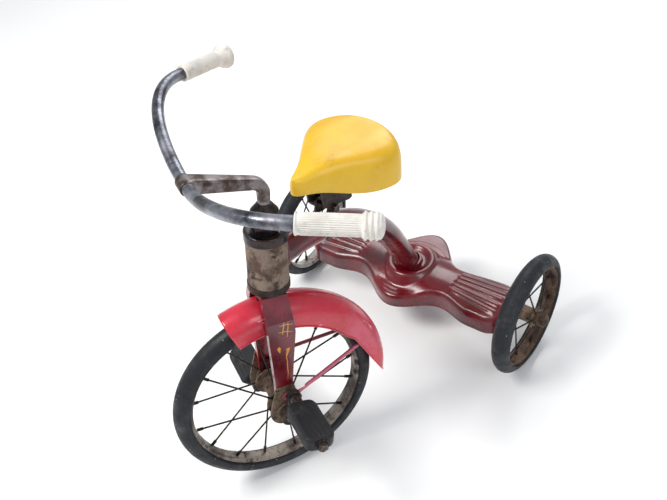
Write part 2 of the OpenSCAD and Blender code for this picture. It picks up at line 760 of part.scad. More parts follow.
// Strap under the deck that holds the axle against the arch
module axle_saddles() {
    color("#5c141d") mirror_pair() translate([120, 0, 0]) difference() {
        translate([0, -16, rear_wheel_r - 11]) cube([24, 32, 16]);
        translate([-1, 0, rear_wheel_r]) along_x() cylinder(r = rear_axle_r, h = 60);
    }
}
module rear_axle_washers() {
    color("#6d6258") mirror_pair() translate([0, 0, rear_wheel_r]) along_x() {
        translate([0, 0, half_track - 22.2]) tube(10, rear_axle_r, 1.8);
        translate([0, 0, half_track + 20.4]) tube(11, rear_axle_r, 1.8);
    }
}
// Domed nut on each end of the axle
module rear_axle_nuts() {
    color("#4d4038") mirror_pair() translate([half_track + 22.2, 0, rear_wheel_r]) along_x() difference() {
        union() {
            cylinder(r = 11, h = 8);
            translate([0, 0, 8]) dome_head(11, 6);
        }
        translate([0, 0, -1]) cylinder(r = rear_axle_r, h = 12.8);
    }
}

/* ---- seat ---- */
seat_tilt = -6;
seat_crown = 15;
nose_half_w = 22.3;
nose_depth = 17;
back_depth = 43.4;
edge_power = 0.4;
back_power = 3.3;
// Half width of the seat at t, from 0 at the nose to 1 at the back
function seat_width(t) =
    (nose_half_w + (seat_half_w - nose_half_w) * ease((t - 0.08) / 0.8))
    * sqrt(max(0, 1 - pow(max(0, 0.37 - t) / 0.37, 2)))
    * pow(max(0, 1 - pow(max(0, t - 0.47) / 0.53, back_power)), 1 / back_power);
// Depth of the side below the seat's reference plane
function seat_depth(t) = nose_depth + (back_depth - nose_depth) * ease(t / 0.6);
function seat_point(t, a, d) =
    let (w = max(0.4, seat_width(t) - d), c = cos(a), low = seat_depth(t))
    [w * (c < 0 ? -1 : 1) * pow(abs(c), edge_power),
     d + t * (seat_len - 2 * d),
     (low + seat_crown - d) * pow(sin(a), edge_power) - low];
seat_rows = 28;
seat_cols = 24;
seat_ts = [for (i = [0 : seat_rows]) min(0.9985, max(0.0015, (1 - cos(180 * i / seat_rows)) / 2))];
function seat_layer(d) = flat_list([for (t = seat_ts) [for (j = [0 : seat_cols])
    seat_point(t, 180 * j / seat_cols, d)]]);
function quad(a, b, c, d) = [[a, b, c], [a, c, d]];
module seat_frame() {
    translate([0, seat_nose_y, seat_nose_z]) rotate([seat_tilt, 0, 0]) children();
}
// Moulded shell: an outer and an inner skin, closed at both ends and joined along the bottom edge
module seat_skin() {
    wall = 3.5;
    cols = seat_cols + 1;
    m = (seat_rows + 1) * cols;
    last = seat_rows * cols;
    half = seat_cols / 2;
    outer = [for (i = [0 : seat_rows - 1], j = [0 : seat_cols - 1])
        let (p = i * cols + j) each quad(p, p + 1, p + cols + 1, p + cols)];
    inner = [for (i = [0 : seat_rows - 1], j = [0 : seat_cols - 1])
        let (p = m + i * cols + j) each quad(p, p + cols, p + cols + 1, p + 1)];
    left = [for (i = [0 : seat_rows - 1]) let (p = i * cols) each quad(p, p + cols, m + p + cols, m + p)];
    right = [for (i = [0 : seat_rows - 1]) let (p = i * cols + seat_cols)
        each quad(p + cols, p, m + p, m + p + cols)];
    ends = [for (j = [0 : half - 1]) let (k = seat_cols - j) each concat(
        quad(j, k, k - 1, j + 1), quad(m + j, m + j + 1, m + k - 1, m + k),
        quad(last + j, last + j + 1, last + k - 1, last + k),
        quad(m + last + j, m + last + k, m + last + k - 1, m + last + j + 1))];
    rims = concat(quad(0, m, m + seat_cols, seat_cols),
        quad(last, last + seat_cols, m + last + seat_cols, m + last));
    polyhedron(points = concat(seat_layer(0), seat_layer(wall)),
        faces = concat(outer, inner, left, right, ends, rims), convexity = 6);
}
module seat_shell() {
    color("#c9a23e") seat_frame() {
        seat_skin();
        mirror_pair() for (y = [66, 90]) translate([12, y, plate_top]) cylinder(r = 5, h = 3.6);
    }
}

/* ---- seat clamp ---- */
clamp_turn = 24.2;
bolt_rise = backbone_r + 12;
band_gap = 0.3;
band_t = 2;
ear_x = 9.2;
wall_x = 12.2;
wall_t = 2.4;
plate_top = 9;
// Frame on the backbone's bend: Z points away from the bend's centre, Y runs along the tube
module clamp_frame() {
    translate([0, bend_y, bend_z]) rotate([-clamp_turn, 0, 0]) translate([0, 0, backbone_bend_r]) children();
}
// Arc of the tube's own bend, about the clamp
module band_arc(r, half_angle) {
    translate([0, bend_y, bend_z]) rotate([half_angle - clamp_turn, 0, 0]) rotate([0, -90, 0])
        rotate_extrude(angle = 2 * half_angle, $fn = 128) translate([backbone_bend_r, 0]) circle(r = r);
}
module seat_clamp_band() {
    color("#3a1a1e") difference() {
        union() {
            band_arc(backbone_r + band_gap + band_t, 1.9);
            clamp_frame() mirror_pair() translate([ear_x, -10, 14]) cube([band_t + 0.6, 20, bolt_rise - 4]);
        }
        band_arc(backbone_r + band_gap, 4);
        clamp_frame() translate([-ear_x, -30, 0]) cube([2 * ear_x, 60, 80]);
        clamp_frame() translate([-40, 0, bolt_rise]) along_x() cylinder(r = 3.05, h = 80);
    }
}
// Folded steel bracket from the clamp bolt up into the seat
module seat_bracket() {
    module side_wall() {
        translate([wall_x, 0, 0]) along_x() rotate([0, 0, 90]) linear_extrude(wall_t)
            polygon([[-203, 392], [-150, 370], [-143, 370], [-143, 480], [-203, 480]]);
        clamp_frame() translate([wall_x, 0, bolt_rise]) along_x() cylinder(r = 9, h = wall_t);
    }
    color("#2a2625") {
        difference() {
            union() {
                mirror_pair() side_wall();
                translate([-wall_x - 1, -145.4, 372]) cube([2 * wall_x + 2, wall_t - 0.5, 108]);
            }
            clamp_frame() translate([-40, 0, bolt_rise]) along_x() cylinder(r = 3.05, h = 80);
            seat_frame() translate([-60, 0, plate_top - 1.5]) cube([120, 200, 80]);
        }
        seat_frame() translate([-20, 56, plate_top - 3]) cube([40, 44, 3]);
    }
}
module seat_clamp_bolt() {
    color("#8f8a86") clamp_frame() translate([0, 0, bolt_rise]) along_x() {
        translate([0, 0, -wall_x - wall_t - 8]) cylinder(r = 3, h = 2 * (wall_x + wall_t) + 8);
        translate([0, 0, wall_x + wall_t]) cylinder(r = 6.5, h = 5, $fn = 6);
    }
}
// Round turning knob on the bolt's other end
module seat_clamp_knob() {
    color("#141414") clamp_frame() translate([-wall_x - wall_t, 0, bolt_rise]) mirror([1, 0, 0]) along_x()
        difference() {
            union() {
                cylinder(r = 5, h = 3);
                translate([0, 0, 3]) cylinder(r = 8, h = 6);
                translate([0, 0, 9]) dome_head(8, 3);
            }
            translate([0, 0, -1]) cylinder(r = 3, h = 9);
        }
}

head_tube();
upper_head_cap();
lower_head_ring();
head_bushes();
backbone_tube();
backbone_collar();
step_deck();
rear_axle();
axle_saddles();
rear_axle_washers();
rear_axle_nuts();
seat_shell();
seat_bracket();
seat_clamp_band();
seat_clamp_bolt();
seat_clamp_knob();
steerer_tube();
head_locknut();
stem_clamp_nut();
fork_crown();
fork_left_leg();
fork_right_leg();
left_axle_bracket();
right_axle_bracket();
axle_bushes();
bracket_bolts();
bracket_nuts();
front_fender();
fender_bolt();
left_fender_stay();
right_fender_stay();
handlebar_stem();
handlebar_tube();
left_grip();
right_grip();
stem_clamp_bolt();
front_tyre();
front_rim();
front_hub();
front_spokes();
front_axle();
left_crank();
right_crank();
left_pedal_spindle();
right_pedal_spindle();
pedal_nuts();
left_pedal();
right_pedal();
left_rear_tyre();
left_rear_rim();
left_rear_hub();
left_rear_spokes();
right_rear_tyre();
right_rear_rim();
right_rear_hub();
right_rear_spokes();
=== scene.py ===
import json
import math

import bmesh
import bpy
from mathutils import Matrix, Vector


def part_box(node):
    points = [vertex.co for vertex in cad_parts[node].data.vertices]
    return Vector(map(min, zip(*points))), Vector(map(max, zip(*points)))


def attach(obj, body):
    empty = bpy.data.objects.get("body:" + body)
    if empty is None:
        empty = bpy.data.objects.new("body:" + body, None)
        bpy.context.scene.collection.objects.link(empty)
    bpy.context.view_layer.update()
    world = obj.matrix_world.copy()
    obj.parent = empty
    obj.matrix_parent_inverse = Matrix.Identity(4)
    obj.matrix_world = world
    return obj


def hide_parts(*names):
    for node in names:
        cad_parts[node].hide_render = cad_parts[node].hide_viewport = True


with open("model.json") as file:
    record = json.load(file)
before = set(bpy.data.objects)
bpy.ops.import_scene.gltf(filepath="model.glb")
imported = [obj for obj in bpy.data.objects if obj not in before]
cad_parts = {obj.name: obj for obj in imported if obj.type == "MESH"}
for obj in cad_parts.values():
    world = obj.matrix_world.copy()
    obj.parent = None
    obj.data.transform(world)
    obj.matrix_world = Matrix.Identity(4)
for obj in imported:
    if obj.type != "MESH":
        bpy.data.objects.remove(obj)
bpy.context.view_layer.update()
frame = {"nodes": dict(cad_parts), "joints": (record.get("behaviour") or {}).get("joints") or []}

MM = 0.001
TAU = 2 * math.pi
X, Y, Z = Vector((1, 0, 0)), Vector((0, 1, 0)), Vector((0, 0, 1))


# ---- camera -------------------------------------------------------------------------------------

def camera():
    """Three-quarter view from above, on the rider's left and in front, with a slight roll."""
    azimuth, elevation, roll = math.radians(43.6), math.radians(43.2), math.radians(-9.8)
    back = Vector((
        math.sin(azimuth) * math.cos(elevation),
        -math.cos(azimuth) * math.cos(elevation),
        math.sin(elevation),
    ))
    level = Vector((math.cos(azimuth), math.sin(azimuth), 0))
    rise = back.cross(level)
    right = math.cos(roll) * level + math.sin(roll) * rise
    up = math.cos(roll) * rise - math.sin(roll) * level
    data = bpy.data.cameras.new("camera")
    data.sensor_width = 36
    data.lens = 42.8
    obj = bpy.data.objects.new("camera", data)
    turn = Matrix((right, up, back)).transposed().to_4x4()
    obj.matrix_world = Matrix.Translation((0.5785, -0.7912, 1.0803)) @ turn
    bpy.context.scene.collection.objects.link(obj)
    bpy.context.scene.camera = obj


# ---- frames taken from the joints and nodes -------------------------------------------------------

JOINTS = {j["name"]: j for j in frame["joints"]}


def joint_pos(name):
    return Vector(JOINTS[name]["pos_m"])


def joint_axis(name):
    return Vector(JOINTS[name]["axis"]).normalized()


def frame_at(x, z, origin):
    """Matrix of a frame with those X and Z directions."""
    return Matrix.Translation(origin) @ Matrix((x, z.cross(x), z)).transposed().to_4x4()


STEER = joint_axis("steering")
AXLE = joint_axis("front_wheel_spin")
HUB = joint_pos("front_wheel_spin")
FORK = frame_at(AXLE, STEER, joint_pos("steering"))
HEAD = frame_at(X, STEER, joint_pos("steering"))
HUB_S = (FORK.inverted() @ HUB).z
BEND = joint_pos("seat_slide")


def local_points(node, matrix):
    inverse = matrix.inverted()
    return [inverse @ v.co for v in frame["nodes"][node].data.vertices]


def local_box(node, matrix):
    """Lowest and highest corner of a node, measured in another frame."""
    points = local_points(node, matrix)
    low = Vector([min(p[i] for p in points) for i in range(3)])
    high = Vector([max(p[i] for p in points) for i in range(3)])
    return low, high


def lathe_frame(axis, origin):
    """Frame with its Z along the axis and its X upright."""
    side = (STEER - STEER.dot(axis) * axis).normalized()
    return frame_at(side, axis, origin)


# ---- mesh helpers ---------------------------------------------------------------------------------

def ease(t):
    """Smooth step from 0 to 1."""
    t = min(1.0, max(0.0, t))
    return t * t * (3 - 2 * t)


def cosine(t):
    """Half a cosine wave from 0 to 1, the same step as in the CAD."""
    return 0.5 - 0.5 * math.cos(math.pi * min(1.0, max(0.0, t)))


def mesh_object(name, verts, faces, matrix=Matrix.Identity(4)):
    mesh = bpy.data.meshes.new(name)
    mesh.from_pydata([tuple(v) for v in verts], [], faces)
    bm = bmesh.new()
    bm.from_mesh(mesh)
    bmesh.ops.remove_doubles(bm, verts=bm.verts, dist=1e-6)
    bmesh.ops.recalc_face_normals(bm, faces=bm.faces)
    bm.to_mesh(mesh)
    bm.free()
    mesh.shade_smooth()
    obj = bpy.data.objects.new(name, mesh)
    obj.matrix_world = matrix
    bpy.context.scene.collection.objects.link(obj)
    return obj


def grid_faces(rows, columns, wrap_rows=False, wrap_columns=False):
    faces = []
    for i in range(rows if wrap_rows else rows - 1):
        for j in range(columns if wrap_columns else columns - 1):
            a, b = i * columns, ((i + 1) % rows) * columns
            k = (j + 1) % columns
            faces.append((a + j, a + k, b + k, b + j))
    return faces


def grid_object(name, rows, matrix=Matrix.Identity(4), wrap_rows=False, wrap_columns=False, caps=False):
    """A surface through rows of points; caps close the first and the last row."""
    columns = len(rows[0])
    verts = [p for row in rows for p in row]
    faces = grid_faces(len(rows), columns, wrap_rows, wrap_columns)
    if caps:
        faces.append(tuple(range(columns)))
        faces.append(tuple(range((len(rows) - 1) * columns, len(rows) * columns)))
    return mesh_object(name, verts, faces, matrix)


def lathe(name, profile, matrix, sides=128, radius=None, closed=False):
    """Turns (radius, height) points about Z. radius(r, z, angle) may change the radius."""
    rows = []
    for k in range(sides):
        a = TAU * k / sides
        row = []
        for r, z in profile:
            q = radius(r, z, a) if radius else r
            row.append(Vector((q * math.cos(a), q * math.sin(a), z)))
        rows.append(row)
    return grid_object(name, rows, matrix, wrap_rows=True, wrap_columns=closed)


def arc(cx, cz, r, start, end, steps):
    """(radius, height) points of an arc, angles in degrees from the outward direction."""
    angles = [math.radians(start + (end - start) * i / steps) for i in range(steps + 1)]
    return [(cx + r * math.cos(a), cz + r * math.sin(a)) for a in angles]


def path_frames(path, side):
    """One (centre, across, out) per point, with across kept near the side direction."""
    found = []
    for i, p in enumerate(path):
        ahead = (path[min(i + 1, len(path) - 1)] - path[max(i - 1, 0)]).normalized()
        out = ahead.cross(side).normalized()
        found.append((p, out.cross(ahead).normalized(), out))
    return found


def sweep(name, path, section, side, matrix, sides=48):
    """Sweeps section(i, angle) -> (across, out) along a path."""
    rows = []
    for i, (p, across, out) in enumerate(path_frames(path, side)):
        row = []
        for k in range(sides):
            u, v = section(i, TAU * k / sides)
            row.append(p + u * across + v * out)
        rows.append(row)
    return grid_object(name, rows, matrix, wrap_columns=True, caps=True)


def round_section(r):
    return lambda i, a: (r * math.cos(a), r * math.sin(a))


def super_point(w, h, power, a):
    """Point of a rounded rectangle: power 2 is an ellipse, higher is squarer."""
    c, s = math.cos(a), math.sin(a)
    k = (abs(c) ** power + abs(s) ** power) ** (-1 / power)
    return w * k * c, h * k * s


def modifier(obj, kind, **values):
    m = obj.modifiers.new(kind.lower(), kind)
    for key, value in values.items():
        setattr(m, key, value)
    return m


def round_edges(obj, width, segments, angle):
    """Rounds the edges that turn by more than the angle, in degrees, without touching the mesh."""
    modifier(obj, "BEVEL", width=width, segments=segments, limit_method="ANGLE",
             angle_limit=math.radians(angle))


def place(obj, body, nodes, material):
    """Gives a new piece its body and its finish, and hides the CAD nodes that it stands for."""
    obj.data.materials.clear()
    obj.data.materials.append(material)
    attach(obj, body)
    if nodes:
        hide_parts(*nodes)
    return obj


# ---- materials ------------------------------------------------------------------------------------

def rgb(red, green, blue):
    """Display colour, 0 to 255, as the linear colour that shaders take."""
    def linear(c):
        c /= 255
        return c / 12.92 if c <= 0.04045 else ((c + 0.055) / 1.055) ** 2.4
    return (linear(red), linear(green), linear(blue), 1)


class Look:
    """A Principled material whose colour, roughness and bump are built up in layers."""

    def __init__(self, name, **settings):
        self.material = bpy.data.materials.new(name)
        self.material.use_nodes = True
        self.tree = self.material.node_tree
        self.shader = self.tree.nodes["Principled BSDF"]
        self.place = self.add("ShaderNodeTexCoord").outputs["Object"]
        for key, value in settings.items():
            self.shader.inputs[key.replace("_", " ")].default_value = value
        self.height = None

    def add(self, kind, **inputs):
        node = self.tree.nodes.new(kind)
        for key, value in inputs.items():
            self.feed(node.inputs[key.replace("_", " ")], value)
        return node

    def feed(self, socket, value):
        if isinstance(value, bpy.types.NodeSocket):
            self.tree.links.new(value, socket)
        else:
            socket.default_value = value

    def math(self, operation, a, b):
        node = self.tree.nodes.new("ShaderNodeMath")
        node.operation = operation
        self.feed(node.inputs[0], a)
        self.feed(node.inputs[1], b)
        return node.outputs[0]

    def stretched(self, scale):
        """Coordinates scaled differently along each axis."""
        node = self.tree.nodes.new("ShaderNodeVectorMath")
        node.operation = "MULTIPLY"
        self.feed(node.inputs[0], self.place)
        node.inputs[1].default_value = scale
        return node.outputs[0]

    def noise(self, scale, detail=5.0, rough=0.55, stretch=None, warp=0.0):
        vector = self.stretched(stretch) if stretch else self.place
        node = self.add("ShaderNodeTexNoise", Vector=vector, Scale=scale, Detail=detail,
                        Roughness=rough, Distortion=warp)
        return node.outputs[0]

    def cells(self, scale):
        return self.add("ShaderNodeTexVoronoi", Vector=self.place, Scale=scale).outputs["Distance"]

    def span(self, value, low, high, to_low=0.0, to_high=1.0):
        """Smooth step of a value between two thresholds."""
        node = self.tree.nodes.new("ShaderNodeMapRange")
        node.interpolation_type = "SMOOTHSTEP"
        self.feed(node.inputs["Value"], value)
        node.inputs["From Min"].default_value = low
        node.inputs["From Max"].default_value = high
        node.inputs["To Min"].default_value = to_low
        node.inputs["To Max"].default_value = to_high
        return node.outputs["Result"]

    def edges(self, radius):
        """1 on worn edges, 0 on flat faces."""
        bevel = self.tree.nodes.new("ShaderNodeBevel")
        bevel.samples = 4
        bevel.inputs["Radius"].default_value = radius
        plain = self.tree.nodes.new("ShaderNodeNewGeometry").outputs["Normal"]
        dot = self.tree.nodes.new("ShaderNodeVectorMath")
        dot.operation = "DOT_PRODUCT"
        self.feed(dot.inputs[0], bevel.outputs[0])
        self.feed(dot.inputs[1], plain)
        return self.span(dot.outputs["Value"], 0.99, 0.86)

    def mix(self, mask, a, b):
        node = self.tree.nodes.new("ShaderNodeMix")
        node.data_type = "RGBA"
        self.feed(node.inputs[0], mask)
        self.feed(node.inputs[6], a)
        self.feed(node.inputs[7], b)
        return node.outputs[2]

    def raise_by(self, mask, amount):
        """Adds a layer to the bump height, in metres."""
        layer = self.math("MULTIPLY", mask, amount)
        self.height = layer if self.height is None else self.math("ADD", self.height, layer)

    def done(self, colour, roughness, metallic=None):
        self.feed(self.shader.inputs["Base Color"], colour)
        self.feed(self.shader.inputs["Roughness"], roughness)
        if metallic is not None:
            self.feed(self.shader.inputs["Metallic"], metallic)
        if self.height is not None:
            bump = self.add("ShaderNodeBump", Height=self.height, Strength=1.0, Distance=1.0)
            self.feed(self.shader.inputs["Normal"], bump.outputs[0])
        return self.material


def worn_paint(name, base, deep, bare, chips, gloss, fade=None, scratch=None, grain=None):
    """Old enamel: uneven colour, chips down to bare metal, worn edges, scratches and dust."""
    look = Look(name, Coat_Weight=0.45, Coat_Roughness=0.14, Specular_IOR_Level=0.5)
    colour = look.mix(look.span(look.noise(14, 6), 0.35, 0.68), rgb(*base), rgb(*deep))
    if fade:
        patch = look.span(look.noise(9, 4, 0.6, warp=0.6), 0.52, 0.72)
        colour = look.mix(look.math("MULTIPLY", patch, 0.65), colour, rgb(*fade))
    speck = look.span(look.noise(420, 3, 0.7), 0.64, 0.72)
    colour = look.mix(look.math("MULTIPLY", speck, 0.35), colour, rgb(*bare))
    rough_edge = look.math("MULTIPLY", look.edges(1.5 * MM), look.span(look.noise(160, 5), 0.38, 0.58))
    region = look.span(look.noise(22, 5, 0.6), 0.5, 0.66)
    flaking = look.math("ADD", look.noise(95, 8, 0.7), look.math("MULTIPLY", region, 0.09))
    chip = look.span(flaking, chips, chips + 0.03)
    bare_mask = look.math("MAXIMUM", rough_edge, chip)
    rust = look.mix(look.span(look.noise(260, 5), 0.42, 0.6), rgb(*bare), rgb(72, 44, 32))
    colour = look.mix(bare_mask, colour, rust)
    if scratch:
        lines = look.span(look.noise(60, 7, 0.72, stretch=grain), 0.6, 0.66)
        zone = look.span(look.noise(16, 3), 0.42, 0.58)
        mark = look.math("MULTIPLY", look.math("MULTIPLY", lines, zone), 0.85)
        colour = look.mix(mark, colour, rgb(*scratch))
        look.raise_by(mark, -0.00005)
    look.raise_by(bare_mask, -0.00012)
    look.raise_by(look.noise(70, 3), 0.00012)
    look.raise_by(look.noise(700, 2), 0.00002)
    uneven = look.span(look.noise(30, 5), 0.3, 0.7, gloss - 0.06, gloss + 0.16)
    roughness = look.math("ADD", uneven, look.math("MULTIPLY", bare_mask, 0.35))
    return look.done(colour, roughness)


def rusted(name, light, middle, dark, scale, rough=0.72, metal=0.15, pits=0.00035):
    """Rusted or stripped iron in three tones, rough and pitted."""
    look = Look(name, Specular_IOR_Level=0.4)
    large = look.noise(scale, 8, 0.66, warp=0.5)
    fine = look.noise(scale * 9, 6, 0.7)
    colour = look.mix(look.span(large, 0.4, 0.56), rgb(*middle), rgb(*light))
    colour = look.mix(look.span(look.noise(scale * 1.7, 7, 0.65), 0.53, 0.66), colour, rgb(*dark))
    colour = look.mix(look.span(fine, 0.56, 0.68), colour, rgb(*dark))
    worn = look.math("MULTIPLY", look.edges(1.2 * MM), 0.5)
    colour = look.mix(worn, colour, rgb(*light))
    look.raise_by(fine, pits)
    look.raise_by(large, pits * 1.4)
    return look.done(colour, look.span(fine, 0.3, 0.7, rough - 0.16, rough + 0.12), metal)


def dark_metal(name, base, edge_tone, rough=0.46, metal=0.6):
    """Blackened or oily steel, brighter on its rubbed edges."""
    look = Look(name, Specular_IOR_Level=0.5)
    colour = look.mix(look.span(look.noise(60, 6), 0.38, 0.66), rgb(*base), rgb(62, 46, 38))
    rub = look.math("MULTIPLY", look.edges(1.0 * MM), look.span(look.noise(220, 4), 0.3, 0.62))
    colour = look.mix(rub, colour, rgb(*edge_tone))
    look.raise_by(look.noise(300, 5), 0.00012)
    return look.done(colour, look.span(look.noise(90, 5), 0.3, 0.7, rough - 0.12, rough + 0.16), metal)


def bar_steel():
    """Old plated bar: grey, smoother where rubbed, pitted and browned."""
    look = Look("bar_steel", Specular_IOR_Level=0.5)
    colour = look.mix(look.span(look.noise(26, 6, 0.6), 0.38, 0.64), rgb(140, 143, 152), rgb(48, 48, 54))
    pit = look.span(look.noise(520, 6, 0.75), 0.56, 0.66)
    region = look.span(look.noise(18, 4), 0.4, 0.66)
    spots = look.math("MULTIPLY", pit, look.span(region, 0.0, 1.0, 0.25, 1.0))
    colour = look.mix(spots, colour, rgb(30, 26, 28))
    brown = look.math("MULTIPLY", look.span(look.noise(44, 6), 0.55, 0.7), 0.6)
    colour = look.mix(brown, colour, rgb(66, 48, 44))
    look.raise_by(spots, -0.0001)
    look.raise_by(look.noise(240, 5), 0.0001)
    return look.done(colour, look.span(region, 0, 1, 0.24, 0.46), 0.85)


def seat_plastic():
    """Moulded yellow plastic with brown smudges, scuffs and fine scratches."""
    look = Look("seat_plastic", Coat_Weight=0.25, Coat_Roughness=0.3, Subsurface_Weight=0.04)
    colour = look.mix(look.span(look.noise(10, 5), 0.36, 0.68), rgb(228, 182, 22), rgb(212, 164, 14))
    smear = look.noise(26, 7, 0.7, stretch=(1, 0.6, 1), warp=0.4)
    smudge = look.math("MULTIPLY", look.span(smear, 0.55, 0.72), 0.5)
    colour = look.mix(smudge, colour, rgb(160, 116, 26))
    bruise = look.math("MULTIPLY", look.span(look.noise(13, 4, 0.6), 0.6, 0.74), 0.45)
    colour = look.mix(bruise, colour, rgb(184, 134, 44))
    lines = look.span(look.noise(70, 8, 0.75, stretch=(0.5, 5, 0.5)), 0.62, 0.67)
    scuff = look.math("MULTIPLY", lines, 0.35)
    colour = look.mix(scuff, colour, rgb(232, 206, 140))
    speck = look.math("MULTIPLY", look.span(look.noise(600, 3), 0.67, 0.73), 0.6)
    colour = look.mix(speck, colour, rgb(96, 70, 34))
    look.raise_by(scuff, -0.00008)
    look.raise_by(look.noise(900, 3), 0.00003)
    look.raise_by(look.noise(40, 3), 0.00025)
    return look.done(colour, look.span(look.noise(34, 6), 0.3, 0.7, 0.32, 0.52))


def grip_vinyl():
    """Off-white vinyl, grey with handling in its grooves."""
    look = Look("grip_vinyl", Specular_IOR_Level=0.45, Subsurface_Weight=0.05)
    colour = look.mix(look.span(look.noise(40, 6), 0.4, 0.68), rgb(226, 222, 214), rgb(200, 196, 190))
    grime = look.math("MULTIPLY", look.span(look.noise(130, 7, 0.7), 0.55, 0.68), 0.5)
    colour = look.mix(grime, colour, rgb(158, 150, 150))
    look.raise_by(look.noise(500, 4), 0.00004)
    return look.done(colour, look.span(look.noise(60, 5), 0.3, 0.7, 0.42, 0.6))


def tyre_rubber(name, base, specks=0.62):
    """Near-black solid rubber with small pale specks, dust and a fine uneven surface."""
    look = Look(name, Specular_IOR_Level=0.42)
    colour = look.mix(look.span(look.noise(18, 6), 0.36, 0.68), rgb(*base), rgb(14, 16, 20))
    dust = look.math("MULTIPLY", look.span(look.noise(34, 8, 0.7), 0.52, 0.76), 0.22)
    colour = look.mix(dust, colour, rgb(116, 116, 122))
    area_of_specks = look.span(look.noise(70, 3), 0.52, specks)
    dots = look.math("MULTIPLY", look.span(look.cells(150), 0.13, 0.08), area_of_specks)
    colour = look.mix(look.math("MULTIPLY", dots, 0.8), colour, rgb(196, 200, 208))
    look.raise_by(look.noise(420, 6, 0.7), 0.00016)
    look.raise_by(look.noise(48, 5), 0.0003)
    return look.done(colour, look.span(look.noise(50, 6), 0.3, 0.7, 0.46, 0.72))


def floor_look():
    """Pale matt studio floor with a barely visible grain."""
    look = Look("floor", Specular_IOR_Level=0.2)
    colour = look.mix(look.noise(3, 3), rgb(246, 246, 245), rgb(250, 250, 250))
    return look.done(colour, look.span(look.noise(20, 3), 0.3, 0.7, 0.75, 0.85))


MAROON = worn_paint("maroon_enamel", (112, 12, 24), (62, 6, 16), (40, 24, 24), chips=0.66, gloss=0.22,
                    fade=(84, 50, 66))
FORK_RED = worn_paint("fork_enamel", (136, 24, 36), (84, 12, 24), (40, 26, 30), chips=0.66, gloss=0.24,
                      fade=(96, 44, 60))
FENDER_RED = worn_paint("fender_enamel", (206, 38, 62), (176, 26, 46), (120, 70, 74), chips=0.70, gloss=0.24,
                        fade=(206, 84, 112), scratch=(240, 214, 220), grain=(3, 0.6, 0.6))
PINK = worn_paint("faded_enamel", (196, 84, 112), (168, 60, 88), (120, 60, 60), chips=0.69, gloss=0.34)
LINING = worn_paint("lining_enamel", (222, 150, 40), (196, 112, 34), (130, 40, 40), chips=0.62, gloss=0.4)
RUST_HEAD = rusted("head_rust", (132, 114, 100), (86, 66, 54), (40, 28, 24), scale=34)
RUST_HUB = rusted("hub_rust", (122, 102, 84), (82, 62, 48), (40, 30, 26), scale=60)
RUST_AXLE = rusted("axle_rust", (104, 84, 68), (66, 50, 42), (34, 26, 24), scale=70)
BLACK = dark_metal("blackened_steel", (30, 28, 30), (122, 112, 104))
GLOSS_BLACK = dark_metal("cap_enamel", (26, 25, 34), (96, 96, 108), rough=0.22, metal=0.5)
WIRE = dark_metal("spoke_wire", (22, 21, 21), (82, 74, 68), rough=0.42)
STEEL = dark_metal("plain_steel", (92, 88, 84), (176, 170, 160), rough=0.36, metal=0.85)
STEM = dark_metal("stem_iron", (134, 126, 126), (214, 204, 196), rough=0.36, metal=0.6)
RIM_BROWN = rusted("rim_brown", (152, 142, 132), (78, 68, 62), (26, 22, 22),
                   scale=16, rough=0.56, metal=0.5, pits=0.0002)
RIM_RUST = rusted("rim_rust", (112, 88, 70), (72, 54, 44), (38, 28, 26),
                  scale=22, rough=0.6, metal=0.4, pits=0.0002)
RIM_PALE = rusted("rim_pale", (188, 184, 180), (160, 154, 150), (104, 78, 60),
                  scale=18, rough=0.42, metal=0.6, pits=0.00015)
BAR = bar_steel()
SEAT = seat_plastic()
VINYL = grip_vinyl()
TYRE = tyre_rubber("tyre_rubber", (22, 25, 32))
PEDAL = tyre_rubber("pedal_rubber", (15, 17, 22), specks=0.75)
KNOB = dark_metal("knob_plastic", (22, 22, 24), (70, 70, 74), rough=0.5, metal=0.0)
BRASS = rusted("bush_brass", (164, 140, 84), (120, 98, 54), (60, 46, 30),
               scale=80, rough=0.4, metal=0.8, pits=0.00008)
PALE = rusted("bush_plastic", (206, 198, 182), (188, 178, 160), (130, 118, 100),
              scale=60, rough=0.55, metal=0.0, pits=0.00005)


# ---- wheels ---------------------------------------------------------------------------------------

# Axle direction, rim material and rim finish of each wheel
WHEELS = {
    "front": (AXLE, RIM_BROWN, "rim_steel"),
    "left_rear": (X, RIM_RUST, "rim_steel"),
    "right_rear": (X, RIM_PALE, "pale_rim_steel"),
}


def tyre_profile(outer, lip, half):
    """Round solid tyre with a shallow tread band and two moulded sidewall rings."""
    depth = 1.1 * half
    centre = outer - depth
    points = []
    steps = 72
    for i in range(steps + 1):
        a = math.radians(-128 + 256 * i / steps)
        r, z = centre + depth * math.cos(a), half * math.sin(a)
        if r >= lip:
            ring = math.exp(-((abs(a) - math.radians(72)) / 0.05) ** 2)
            tread = 0.35 * MM * ease((abs(a) - 0.34) / 0.05) * ease((0.46 - abs(a)) / 0.05)
            points.append((r - tread, z * (1 + 0.03 * ring) / 1.03))
    return points + [(lip, points[-1][1] * 0.8), (lip, points[0][1] * 0.8)]


def rim_profile(inner, lip, half):
    """Rolled channel rim: crowned well, turned-up sides and a bead along each lip."""
    steps = 24
    well = []
    for i in range(steps + 1):
        k = -1 + 2 * i / steps
        well.append((inner + 3.5 * MM * abs(k) ** 5 + 0.6 * MM * (1 - k * k), k * (half - 1.4 * MM)))
    bead = arc(lip - 1.2 * MM, half - 1.3 * MM, 1.3 * MM, -60, 200, 10)
    far = [(r, -z) for r, z in reversed(bead)]
    back = [(inner + 4.2 * MM, half - 4 * MM), (inner + 4.2 * MM, -half + 4 * MM)]
    return well + bead + back + far


